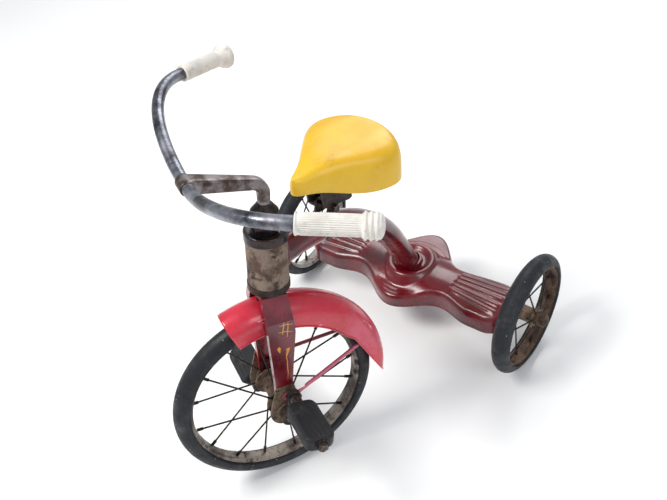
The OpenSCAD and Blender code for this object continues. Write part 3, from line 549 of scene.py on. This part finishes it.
def wheel(name, axis, look):
    """Tyre and rim in place of the CAD ones; the hub and the spokes are carried over."""
    body, tyre, rim = name + "_wheel", name + "_tyre", name + "_rim"
    turned = lathe_frame(axis, joint_pos(body + "_spin"))
    tyre_high = local_box(tyre, turned)[1]
    rim_high = local_box(rim, turned)[1]
    lip = rim_high.x
    inner = min(math.hypot(p.x, p.y) for p in local_points(rim, turned))
    ring = lathe(tyre + "_skin", tyre_profile(tyre_high.x, lip, tyre_high.z), turned, 192, closed=True)
    place(ring, body, [tyre], TYRE)
    hoop = lathe(rim + "_skin", rim_profile(inner, lip, rim_high.z), turned, 192, closed=True)
    place(hoop, body, [rim], look)


# ---- saddle ---------------------------------------------------------------------------------------

def seat_rows():
    """Sections of the saddle from nose to back, and the frame that they are in."""
    tilt = Matrix.Rotation(math.radians(-6), 4, "X")
    low, high = local_box("seat_shell", tilt)
    length, half_w, top = high.y - low.y, high.x, high.z
    crown, nose_w, nose_d = 15 * MM, 22.3 * MM, 17 * MM
    back_d = high.z - low.z - crown
    origin = tilt @ Vector((0, low.y, top - crown))

    def half_width(t):
        w = nose_w + (half_w - nose_w) * cosine((t - 0.08) / 0.8) / cosine(0.8)
        w *= math.sqrt(max(0.0, 1 - (max(0.0, 0.37 - t) / 0.37) ** 2))
        return w * max(0.0, 1 - (max(0.0, t - 0.47) / 0.53) ** 3.3) ** (1 / 3.3)

    rows = []
    count, around = 88, 72
    for i in range(count + 1):
        t = 0.5 - 0.5 * math.cos(math.pi * i / count)
        w = half_width(t)
        deep = nose_d + (back_d - nose_d) * cosine(t / 0.6)
        rise = crown * (0.45 + 0.55 * cosine(t / 0.42))
        power = 0.72 - 0.3 * cosine(t / 0.5)
        row = []
        for j in range(around + 1):
            a = math.pi * j / around
            c, s = math.cos(a), math.sin(a)
            x = w * math.copysign(abs(c) ** power, c)
            lift = (deep + rise) * max(0.0, s) ** power - deep
            dish = 1.6 * MM * math.exp(-((t - 0.62) / 0.2) ** 2)
            dish *= max(0.0, 1 - (x / (0.7 * half_w)) ** 2)
            row.append(Vector((x, t * length, lift - dish)))
        rows.append(row)
    return rows, Matrix.Translation(origin) @ tilt


def seat():
    """Moulded saddle: narrow drooped nose, broad flat back and deep rounded sides."""
    rows, matrix = seat_rows()
    shell = grid_object("saddle", rows, matrix)
    modifier(shell, "SOLIDIFY", thickness=3.4 * MM, offset=-1)
    round_edges(shell, 1.2 * MM, 3, 50)
    place(shell, "seat", ["seat_shell"], SEAT)


# ---- bars, stem and grips --------------------------------------------------------------------------

GRIP_SWEEP = math.radians(61.2)


def grip_frame(side):
    """Frame with Z along a grip from its mouth to its end, with its length and largest radius."""
    direction = Vector((side * math.cos(GRIP_SWEEP), math.sin(GRIP_SWEEP), 0))
    node = "left_grip" if side > 0 else "right_grip"
    turned = FORK @ frame_at(Z, direction, Vector((0, 0, 0)))
    low, high = local_box(node, turned)
    middle = (low + high) / 2
    return turned @ Matrix.Translation((middle.x, middle.y, low.z)), high.z - low.z, (high.x - low.x) / 2


BAR_STRAIGHT = 14 * MM
BAR_R = 7.95 * MM


def bar_middle():
    """Centre of the bar's straight middle, in the fork's frame."""
    near = [p for p in local_points("handlebar_tube", FORK) if abs(p.x) < BAR_STRAIGHT + MM]
    return sum(near, Vector()) / len(near)


BAR_MID = bar_middle()


def bar_tube():
    """Bent tube: straight in the stem, one curve out to each grip, straight inside the grip."""
    mouth = FORK.inverted() @ grip_frame(1)[0].translation
    direction = Vector((math.cos(GRIP_SWEEP), math.sin(GRIP_SWEEP), 0))
    bend = BAR_MID + BAR_STRAIGHT * X
    handles = [bend, BAR_MID + 38 * MM * X, mouth - 78.8 * MM * direction, mouth]
    half = []
    steps = 56
    for i in range(steps + 1):
        t = i / steps
        half.append((1 - t) ** 3 * handles[0] + 3 * t * (1 - t) ** 2 * handles[1]
                    + 3 * t * t * (1 - t) * handles[2] + t ** 3 * handles[3])
    half += [mouth + k * 12 * MM * direction for k in range(1, 7)]
    mirrored = [Vector((-p.x, p.y, p.z)) for p in reversed(half)]
    path = mirrored + [BAR_MID] + half
    tube = sweep("bar_tube", path, round_section(BAR_R), Z, FORK, 48)
    place(tube, "handlebar", ["handlebar_tube"], BAR)


def grips():
    """Near grip: lengthwise ribs, a mouth bead and end rings. Far grip: fine ribs and a bell."""
    body = 11.0 * MM
    hole = 8.05 * MM
    matrix, length, ring_r = grip_frame(1)
    ends = length - 21 * MM
    profile = [(hole, 0.6 * MM)] + arc(body - 0.2 * MM, 1.4 * MM, 1.2 * MM, -90, 60, 8)
    profile += [(body, z * MM) for z in (3.6, 4.6)]
    profile += [(body, 4.6 * MM + (ends - 6.6 * MM) * k / 20) for k in range(1, 21)]
    for k in range(3):
        z = ends + 5.5 * MM * k + 1.8 * MM
        profile += arc(ring_r - 1.5 * MM, z, 1.5 * MM, -80, 80, 8)
        profile += [(ring_r - 1.6 * MM, z + 2.4 * MM)]
    dome = 5.4 * MM
    for a in range(8, 91, 6):
        turn = math.radians(a)
        profile.append((0.9 * ring_r * math.cos(turn), length - dome + dome * math.sin(turn)))

    def ribs(r, z, a):
        on = ease((z - 4.2 * MM) / (1.5 * MM)) * ease((ends - 1.2 * MM - z) / (1.5 * MM))
        return r + on * (0.45 * MM * math.cos(32 * a) - 0.1 * MM)

    near = lathe("near_grip", profile, matrix, 384, ribs)
    place(near, "handlebar", ["left_grip"], VINYL)

    matrix, length, end_r = grip_frame(-1)
    bell = 22 * MM
    start = length - bell
    profile = [(hole, 0.4 * MM)] + arc(body - 0.6 * MM, 1.0 * MM, 0.9 * MM, -90, 60, 8)
    profile += [(body, 2.6 * MM + (start - 3 * MM) * k / 40) for k in range(1, 41)]
    for k in range(1, 21):
        profile.append((body + (end_r - body) * ease(k / 20), start + (bell - 5 * MM) * k / 20))
    profile += arc(end_r - 2 * MM, length - 3.2 * MM, 2 * MM, 0, 80, 8)
    profile += [(0.6 * end_r, length - 0.6 * MM), (0.3 * end_r, length - 0.2 * MM), (0, length - 0.2 * MM)]

    def grooves(r, z, a):
        on = ease((z - 3 * MM) / (2 * MM)) * ease((start - z) / (2 * MM))
        return r + on * 0.3 * MM * math.cos(44 * a + z / MM * 0.55)

    far = lathe("far_grip", profile, matrix, 384, grooves)
    place(far, "handlebar", ["right_grip"], VINYL)


def stem():
    """Forged stem: round post, tight bend and a flat-sided arm that grows towards the bar."""
    foot = local_box("handlebar_stem", FORK)[0].z
    bend_r, turn = 17 * MM, math.radians(76.5)
    elbow = 489 * MM
    path = [Vector((0, 0, foot + (elbow - foot) * k / 16)) for k in range(17)]
    sizes = [(BAR_R, BAR_R, 2.0)] * 14 + [(BAR_R, BAR_R, 2.6)] * 2 + [(8 * MM, 8 * MM, 3.2)]
    for k in range(1, 13):
        a = turn * k / 12
        path.append(Vector((0, -bend_r * (1 - math.cos(a)), elbow + bend_r * math.sin(a))))
        sizes.append((8 * MM, 8 * MM, 4.0))
    start, end = path[-1], BAR_MID + Vector((0, 4 * MM, 0))
    for k in range(1, 21):
        t = k / 20
        path.append(start.lerp(end, t))
        sizes.append(((8 + 4 * t) * MM, (8 + 2 * t) * MM, 4.5))

    def section(i, a):
        w, h, power = sizes[i]
        return super_point(w, h, power, a)

    arm = sweep("stem_arm", path, section, X, FORK, 64)
    sleeve_r, sleeve_half = 10.2 * MM, 12 * MM
    profile = [(0, -sleeve_half)] + arc(sleeve_r - 1.5 * MM, -sleeve_half + 1.5 * MM, 1.5 * MM, -90, 0, 6)
    profile += arc(sleeve_r - 1.5 * MM, sleeve_half - 1.5 * MM, 1.5 * MM, 0, 90, 6) + [(0, sleeve_half)]
    sleeve = lathe("stem_sleeve", profile, FORK @ frame_at(-Z, X, BAR_MID), 64)
    join([arm, sleeve])
    modifier(arm, "REMESH", mode="VOXEL", voxel_size=0.9 * MM, use_smooth_shade=True)
    modifier(arm, "SMOOTH", factor=0.6, iterations=8)
    place(arm, "handlebar", ["handlebar_stem"], STEM)


def join(objects):
    """Makes the first object hold the geometry of all of them."""
    first = objects[0]
    bm = bmesh.new()
    for o in objects:
        part = o.data.copy()
        part.transform(first.matrix_world.inverted() @ o.matrix_world)
        bm.from_mesh(part)
        bpy.data.meshes.remove(part)
    bm.to_mesh(first.data)
    bm.free()
    first.data.shade_smooth()
    for o in objects[1:]:
        bpy.data.objects.remove(o)


# ---- mudguard -------------------------------------------------------------------------------------

def mudguard():
    """Arched guard that ends in a drawn-out point, with a rolled edge."""
    centre = frame_at(X, Z, Vector((0, 0, HUB_S)))
    local = FORK @ centre
    half_w = local_box("front_fender", local)[1].x
    crown_r = max(math.hypot(p.y, p.z) for p in local_points("front_fender", local))
    skirt_r = crown_r - 40 * MM
    rise = 26 * MM
    rake = math.asin(STEER.y)
    first = math.radians(77) - rake
    last = first + math.radians(120.2)

    def section():
        points = [(skirt_r, half_w)]
        for i in range(41):
            a = math.pi * i / 40
            points.append((crown_r - rise + rise * math.sin(a), half_w * math.cos(a)))
        return points + [(skirt_r, -half_w)]

    def cut_radius(angle):
        """Where the tail's slanted edge crosses this angle."""
        below = math.pi - (angle + rake)
        slant = 138.75 * MM / math.cos(below - math.radians(20))
        return skirt_r + (slant - skirt_r) * ease((math.radians(30) - below) / math.radians(9))

    outline = section()
    lengths = [0.0]
    for (r0, x0), (r1, x1) in zip(outline, outline[1:]):
        lengths.append(lengths[-1] + math.hypot(r1 - r0, x1 - x0))

    def along(distance):
        """Point of the section at that distance from its first edge."""
        k = max(i for i, d in enumerate(lengths[:-1]) if d <= distance + 1e-9)
        t = (distance - lengths[k]) / (lengths[k + 1] - lengths[k])
        (r0, x0), (r1, x1) = outline[k], outline[k + 1]
        return r0 + (r1 - r0) * t, x0 + (x1 - x0) * t

    def trimmed(start_r, steps=48):
        """The section from one cut edge over the crown to the other, evenly spaced."""
        low_d, high_d = 0.0, lengths[-1] / 2
        for _ in range(30):
            middle = (low_d + high_d) / 2
            low_d, high_d = (middle, high_d) if along(middle)[0] < start_r else (low_d, middle)
        kept = lengths[-1] - 2 * low_d
        return [along(low_d + kept * i / steps) for i in range(steps + 1)]

    rows = []
    count = 128
    for i in range(count + 1):
        angle = first + (last - first) * i / count
        row = []
        for r, x in trimmed(min(cut_radius(angle), crown_r - 0.2 * MM)):
            row.append(Vector((x, -r * math.cos(angle), r * math.sin(angle))))
        rows.append(row)
    guard = grid_object("mudguard", rows, local)
    modifier(guard, "SOLIDIFY", thickness=1.4 * MM, offset=-1 if guard_faces_out(guard) else 1)
    place(guard, "fork", ["front_fender"], FENDER_RED)
    border = [row[0] for row in rows] + [row[-1] for row in reversed(rows)]
    border = [p for k, p in enumerate(border) if k == 0 or (p - border[k - 1]).length > 0.4 * MM]
    side = Vector((0.3, 0.2, 1)).normalized()
    roll = sweep("mudguard_edge", border, round_section(1.15 * MM), side, local, 12)
    place(roll, "fork", [], FENDER_RED)


def guard_faces_out(obj):
    """True if the surface's normals point away from the wheel."""
    face = max(obj.data.polygons, key=lambda f: f.center.z)
    return face.normal.z > 0


# ---- frame tube, head and deck ----------------------------------------------------------------------

def backbone():
    """Tube that leaves the head at a right angle, bends down and ends inside the deck."""
    low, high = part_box("backbone_tube")
    radius = (high.x - low.x) / 2
    bend_r = high.z - radius - BEND.z
    lean = math.asin(STEER.y)
    end = math.radians(65.5)
    bend_start = BEND + bend_r * Vector((0, math.sin(lean), math.cos(lean)))
    back = Vector((0, math.cos(lean), -math.sin(lean)))
    path = [bend_start - 60 * MM * (1 - k / 8) * back for k in range(9)]
    for k in range(1, 61):
        a = lean + (end - lean) * k / 60
        path.append(BEND + bend_r * Vector((0, math.sin(a), math.cos(a))))
    run = Vector((0, math.cos(end), -math.sin(end)))
    while path[-1].z > low.z - 6 * MM:
        path.append(path[-1] + 6 * MM * run)
    tube = sweep("backbone", path, round_section(radius), X, Matrix.Identity(4), 72)
    place(tube, "frame", ["backbone_tube"], MAROON)
    weld(radius, bend_r)


def weld(radius, bend_r):
    """Bead where the tube meets the head."""
    inverse = HEAD.inverted()
    height = (inverse @ BEND).z + bend_r
    head_r = local_box("head_tube", HEAD)[1].x
    points = []
    for k in range(96):
        a = TAU * k / 96
        x, z = radius * 1.02 * math.cos(a), radius * 1.02 * math.sin(a)
        points.append(Vector((x, math.sqrt(head_r ** 2 - x ** 2) + 0.6 * MM, height + z)))
    rows = []
    for k, p in enumerate(points):
        ahead = (points[(k + 1) % 96] - points[k - 1]).normalized()
        out = ahead.cross(Y).normalized()
        size = 2.1 * MM * (1 + 0.12 * math.sin(17 * TAU * k / 96) + 0.08 * math.sin(5 * TAU * k / 96))
        rows.append([p + size * (math.cos(b) * out + math.sin(b) * out.cross(ahead))
                     for b in (TAU * j / 12 for j in range(12))])
    bead = grid_object("head_weld", rows, HEAD, wrap_rows=True, wrap_columns=True)
    place(bead, "frame", [], MAROON)


def head():
    """Head tube with a barely waisted wall and rounded ends."""
    low, high = local_box("head_tube", HEAD)
    r = high.x
    steps = 40
    profile = [(r - 1.5 * MM, low.z)]
    for k in range(steps + 1):
        z = low.z + (high.z - low.z) * k / steps
        profile.append((r - 0.35 * MM * math.sin(math.pi * k / steps), z))
    profile.append((r - 1.5 * MM, high.z))
    barrel = lathe("head_barrel", profile, HEAD, 160)
    place(barrel, "frame", ["head_tube"], RUST_HEAD)


NECK, LOBE = 83 * MM, 137 * MM


def deck():
    """Pressed step plate: hourglass outline, rolled fold, arched lobes with beads and a raised ring."""
    low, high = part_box("step_deck")
    end = high.x
    skirt = low.z
    fold = skirt + 24 * MM
    corner = 34 * MM
    arch_r = 86 * MM
    arch_z = fold + 16 * MM - arch_r
    thick = 1.5 * MM

    def front(x):
        if x < NECK:
            return (36 + 38 * (1 - cosine(x / NECK))) * MM
        return (36 + 11 * cosine((x - NECK) / (LOBE - NECK))) * MM

    def back(x):
        if x < NECK:
            return (36 + 63 * (1 - cosine(x / NECK))) * MM
        return (36 + 13 * cosine((x - NECK) / (80 * MM))) * MM

    def cut(x):
        past = x - (end - corner)
        return 0 if past < 0 else corner - math.sqrt(max(0, corner ** 2 - past ** 2))

    def outline():
        """Points round the edge, starting at the middle of the front."""
        quarter = []
        for k in range(61):
            quarter.append((end - corner) * k / 60)
        for k in range(1, 19):
            quarter.append(end - corner + corner * math.sin(math.pi / 2 * k / 18))
        right = [Vector((x, -front(x) + cut(x), 0)) for x in quarter]
        flat = front(end) + back(end) - 2 * corner
        side = [Vector((end, -front(end) + corner + flat * k / 8, 0)) for k in range(1, 8)]
        left = [Vector((x, back(x) - cut(x), 0)) for x in reversed(quarter)]
        half = right + side + left
        return half + [Vector((-p.x, p.y, 0)) for p in reversed(half[1:-1])]

    def spine(p):
        reach = end - 46 * MM
        return Vector((min(reach, max(-reach, p.x)), 2 * MM, 0))

    def ring_rise(r):
        """Raised ring round the tube with a dished middle."""
        up = 21 * MM * cosine((56 * MM - r) / (18 * MM))
        dip = 6.5 * MM * cosine((35 * MM - r) / (10 * MM))
        return up - dip

    def beads(x, y):
        along = abs(x)
        window = ease((along - 88 * MM) / (8 * MM)) * ease((end - 14 * MM - along) / (8 * MM))
        if window <= 0:
            return 0
        fan = 10 * MM + 4 * MM * (along - 92 * MM) / (end - 110 * MM)
        nearest = max(-2, min(2, round(y / fan)))
        gap = abs(y - nearest * fan) / (4.4 * MM)
        return 1.9 * MM * window * max(0.0, 1 - gap * gap) ** 0.7

    def smooth_max(a, b, k):
        h = max(0.0, min(1.0, 0.5 + 0.5 * (a - b) / k))
        return b + (a - b) * h + k * h * (1 - h)

    def height(x, y, inset):
        arch = arch_z + math.sqrt(max(0.0, arch_r ** 2 - y * y))
        z = smooth_max(fold, arch, 4 * MM)
        r = math.hypot(x, y - 4 * MM)
        if r < 64 * MM:
            z = smooth_max(z, fold + ring_rise(r), 3 * MM)
        z += beads(x, y)
        roll = 8 * MM
        if inset < roll:
            z -= roll - math.sqrt(max(0.0, roll ** 2 - (roll - inset) ** 2))
        return z

    edge = outline()
    insets = [0, 0.25, 0.7, 1.5, 2.6, 4, 5.6, 7.4, 9.5, 12, 15]
    rows = []
    for drop, flare in ((0.0, 0.9), (0.9, 0.9), (2.2, 0.25), (6, 0), (11, 0)):
        shift = flare * MM - 0.9 * MM
        rows.append([p + (p - spine(p)).normalized() * shift + Z * (skirt + drop * MM) for p in edge])
    for inset in insets:
        rows.append([])
        for p in edge:
            reach = (p - spine(p)).length
            step = inset * MM + 0.9 * MM
            q = p + (spine(p) - p) * (step / reach)
            rows[-1].append(Vector((q.x, q.y, height(q.x, q.y, inset * MM))))
    inner = 46
    for k in range(1, inner + 1):
        rows.append([])
        for p in edge:
            reach = (p - spine(p)).length
            first = (15 + 0.9) * MM / reach
            t = first + (1 - first) * k / inner
            q = p + (spine(p) - p) * t
            rows[-1].append(Vector((q.x, q.y, height(q.x, q.y, 20 * MM))))
    plate = grid_object("step_plate", rows, wrap_columns=True)
    top = max(plate.data.polygons, key=lambda f: f.center.z)
    modifier(plate, "SOLIDIFY", thickness=thick, offset=-1 if top.normal.z > 0 else 1)
    place(plate, "frame", ["step_deck"], MAROON)


# ---- pedals ---------------------------------------------------------------------------------------

def pedal(side):
    """Solid rubber block with pillowed faces, rounded ends and shallow tread grooves."""
    name = "left" if side > 0 else "right"
    node = name + "_pedal"
    spin = joint_pos(name + "_pedal_spin")
    arm = (spin - HUB)
    arm = (arm - arm.dot(AXLE) * AXLE).normalized()
    crank = frame_at(AXLE, arm, spin)
    tilt = math.radians(4 if side > 0 else 64)
    block = crank @ Matrix.Rotation(tilt, 4, "X")
    low, high = local_box(node, block)
    length = high.x - low.x
    half_w, half_t = high.y, high.z
    rows = []
    count = 56
    for i in range(count + 1):
        t = 0.5 - 0.5 * math.cos(math.pi * i / count)
        x = t * length
        end = min(x, length - x)
        plan = 11 * MM
        trim = plan - math.sqrt(max(0.0, plan ** 2 - max(0.0, plan - end) ** 2))
        thin = 3.2 * MM
        shave = thin - math.sqrt(max(0.0, thin ** 2 - max(0.0, thin - end) ** 2))
        row = []
        for k in range(120):
            y, z = super_point(half_w - trim * 0.9, half_t - shave, 5.5, TAU * k / 120)
            pillow = 1 - 0.05 * (abs(y) / half_w) ** 2
            on = ease((end - 5 * MM) / (2 * MM)) * ease((half_w - 4 * MM - abs(y)) / (2 * MM))
            groove = max(0.0, math.cos(y / (7 * MM) * TAU)) ** 6 if abs(z) > 0.7 * half_t else 0
            row.append(Vector((low.x + x, y, z * pillow - math.copysign(1.1 * MM, z) * groove * on)))
        rows.append(row)
    solid = grid_object(node + "_block", rows, block, wrap_columns=True, caps=True)
    round_edges(solid, 0.8 * MM, 2, 55)
    place(solid, node + "_block", [node], PEDAL)


# ---- hand-painted lining --------------------------------------------------------------------------

def stroke(points, widths, face_x, side):
    """A brush stroke on a leg's outer face through (depth, height) points in millimetres."""
    path = [Vector((0, y * MM, z * MM)) for y, z in points]
    fine = []
    for k in range(len(path) - 1):
        for i in range(8):
            t = i / 8
            width = widths[k] + (widths[k + 1] - widths[k]) * t
            fine.append((path[k].lerp(path[k + 1], t), width * (1 + 0.18 * math.sin(3.1 * (k * 8 + i)))))
    fine.append((path[-1], widths[-1]))
    rows = []
    for k, (p, width) in enumerate(fine):
        ahead = (fine[min(k + 1, len(fine) - 1)][0] - fine[max(k - 1, 0)][0]).normalized()
        across = ahead.cross(X) * 0.25 * width * MM
        row = []
        for j, lift in enumerate((0.0, 0.09 * MM, 0.11 * MM, 0.09 * MM, 0.0)):
            row.append(Vector((side * (face_x + lift), 0, 0)) + p + across * (j - 2))
        rows.append(row)
    return rows


def lining():
    """Plain yellow brush lining on each fork leg: a hatch of four strokes over two drops with tails."""
    strokes = [
        ([(3.5, 313), (2, 303), (0.5, 293)], [0.9, 1.5, 0.8]),
        ([(9, 312), (8.5, 300), (7, 287)], [0.8, 1.4, 0.9]),
        ([(-3.5, 308), (6, 308.5), (16, 306)], [0.8, 1.3, 0.7]),
        ([(-4.5, 297.5), (5, 297), (15, 293.5)], [0.9, 1.3, 0.7]),
        ([(-5.5, 273), (-5.5, 270), (-5, 266), (-4.5, 262)], [1.6, 5.4, 3.0, 0.6]),
        ([(7.5, 269), (7.4, 266), (6.6, 261), (4.4, 253), (5.6, 243), (5.4, 231), (6, 222), (5, 213)],
         [1.8, 5.6, 3.4, 1.6, 1.2, 1.8, 1.0, 0.5]),
    ]
    face_x = local_box("fork_left_leg", FORK)[1].x
    for side, name in ((1, "left"), (-1, "right")):
        for k, (points, widths) in enumerate(strokes):
            line = grid_object(f"{name}_lining_{k}", stroke(points, widths, face_x, side), FORK)
            place(line, "fork", [], LINING)


# ---- carried-over CAD pieces ------------------------------------------------------------------------

# Material and edge rounding, in millimetres, of each carried-over node
CAD_LOOKS = {
    "upper_head_cap": (GLOSS_BLACK, 0.5), "lower_head_ring": (BLACK, 0.5), "head_bushes": (PALE, 0.3),
    "backbone_collar": (MAROON, 0.8), "rear_axle": (RUST_AXLE, 0.5), "axle_saddles": (MAROON, 1.0),
    "rear_axle_washers": (RUST_HUB, 0.3), "rear_axle_nuts": (RUST_AXLE, 0.6),
    "seat_bracket": (BLACK, 0.7), "seat_clamp_band": (BLACK, 0.5), "seat_clamp_bolt": (STEEL, 0.3),
    "seat_clamp_knob": (KNOB, 0.8), "steerer_tube": (STEEL, 0.3), "head_locknut": (GLOSS_BLACK, 0.6),
    "stem_clamp_nut": (BLACK, 0.7), "fork_crown": (FORK_RED, 1.0), "fork_left_leg": (FORK_RED, 1.4),
    "fork_right_leg": (FORK_RED, 1.4), "left_axle_bracket": (RUST_HUB, 0.9),
    "right_axle_bracket": (RUST_HUB, 0.9),
    "axle_bushes": (BRASS, 0.3), "bracket_bolts": (FORK_RED, 0.4), "bracket_nuts": (BLACK, 0.3),
    "fender_bolt": (BLACK, 0.3), "left_fender_stay": (PINK, 0.5), "right_fender_stay": (FORK_RED, 0.5),
    "stem_clamp_bolt": (BLACK, 0.4), "front_hub": (RUST_HUB, 0.6), "front_spokes": (WIRE, 0),
    "front_axle": (STEEL, 0.5), "left_crank": (BLACK, 1.2), "right_crank": (BLACK, 1.2),
    "left_pedal_spindle": (STEEL, 0.4), "right_pedal_spindle": (STEEL, 0.4), "pedal_nuts": (BLACK, 0.4),
    "left_rear_hub": (RUST_HUB, 0.6), "left_rear_spokes": (WIRE, 0),
    "right_rear_hub": (RUST_HUB, 0.6), "right_rear_spokes": (WIRE, 0),
}


def dress_cad():
    """Real materials and softened edges for the nodes that keep their CAD shape."""
    for name, (material, edge) in CAD_LOOKS.items():
        obj = frame["nodes"][name]
        obj.data.materials.clear()
        obj.data.materials.append(material)
        if edge:
            round_edges(obj, edge * MM, 3, 32)


# ---- floor and light --------------------------------------------------------------------------------

def studio():
    """Pale floor and soft light from three sides."""
    ticks = [-6.0 + 0.5 * i for i in range(25)]
    rows = [[Vector((x, y, 0)) for y in ticks] for x in ticks]
    ground = grid_object("floor", rows)
    ground.data.materials.append(floor_look())
    world = bpy.data.worlds.new("studio")
    bpy.context.scene.world = world
    world.use_nodes = True
    sky = world.node_tree.nodes["Background"]
    sky.inputs["Color"].default_value = (0.93, 0.96, 1.0, 1)
    sky.inputs["Strength"].default_value = 0.5
    area("key", (-0.9, -1.3, 2.2), 0.9, 46, (1.0, 0.985, 0.96))
    area("window", (1.9, -0.6, 1.6), 1.0, 14, (0.92, 0.95, 1.0))
    area("back", (-0.6, 1.7, 1.8), 1.4, 24, (1.0, 1.0, 1.0))
    bpy.context.scene.view_settings.view_transform = "Standard"


def area(name, where, size, power, colour):
    light = bpy.data.lights.new(name, "AREA")
    light.size = size
    light.energy = power
    light.color = colour
    obj = bpy.data.objects.new(name, light)
    obj.location = where
    target = Vector((0, -0.2, 0.25))
    obj.rotation_euler = (target - obj.location).to_track_quat("-Z", "Y").to_euler()
    bpy.context.scene.collection.objects.link(obj)


camera()
studio()
for part, (axis, look, slot) in WHEELS.items():
    wheel(part, axis, look)
seat()
bar_tube()
grips()
stem()
mudguard()
backbone()
head()
deck()
pedal(1)
pedal(-1)
lining()
dress_cad()

bpy.context.view_layer.update()
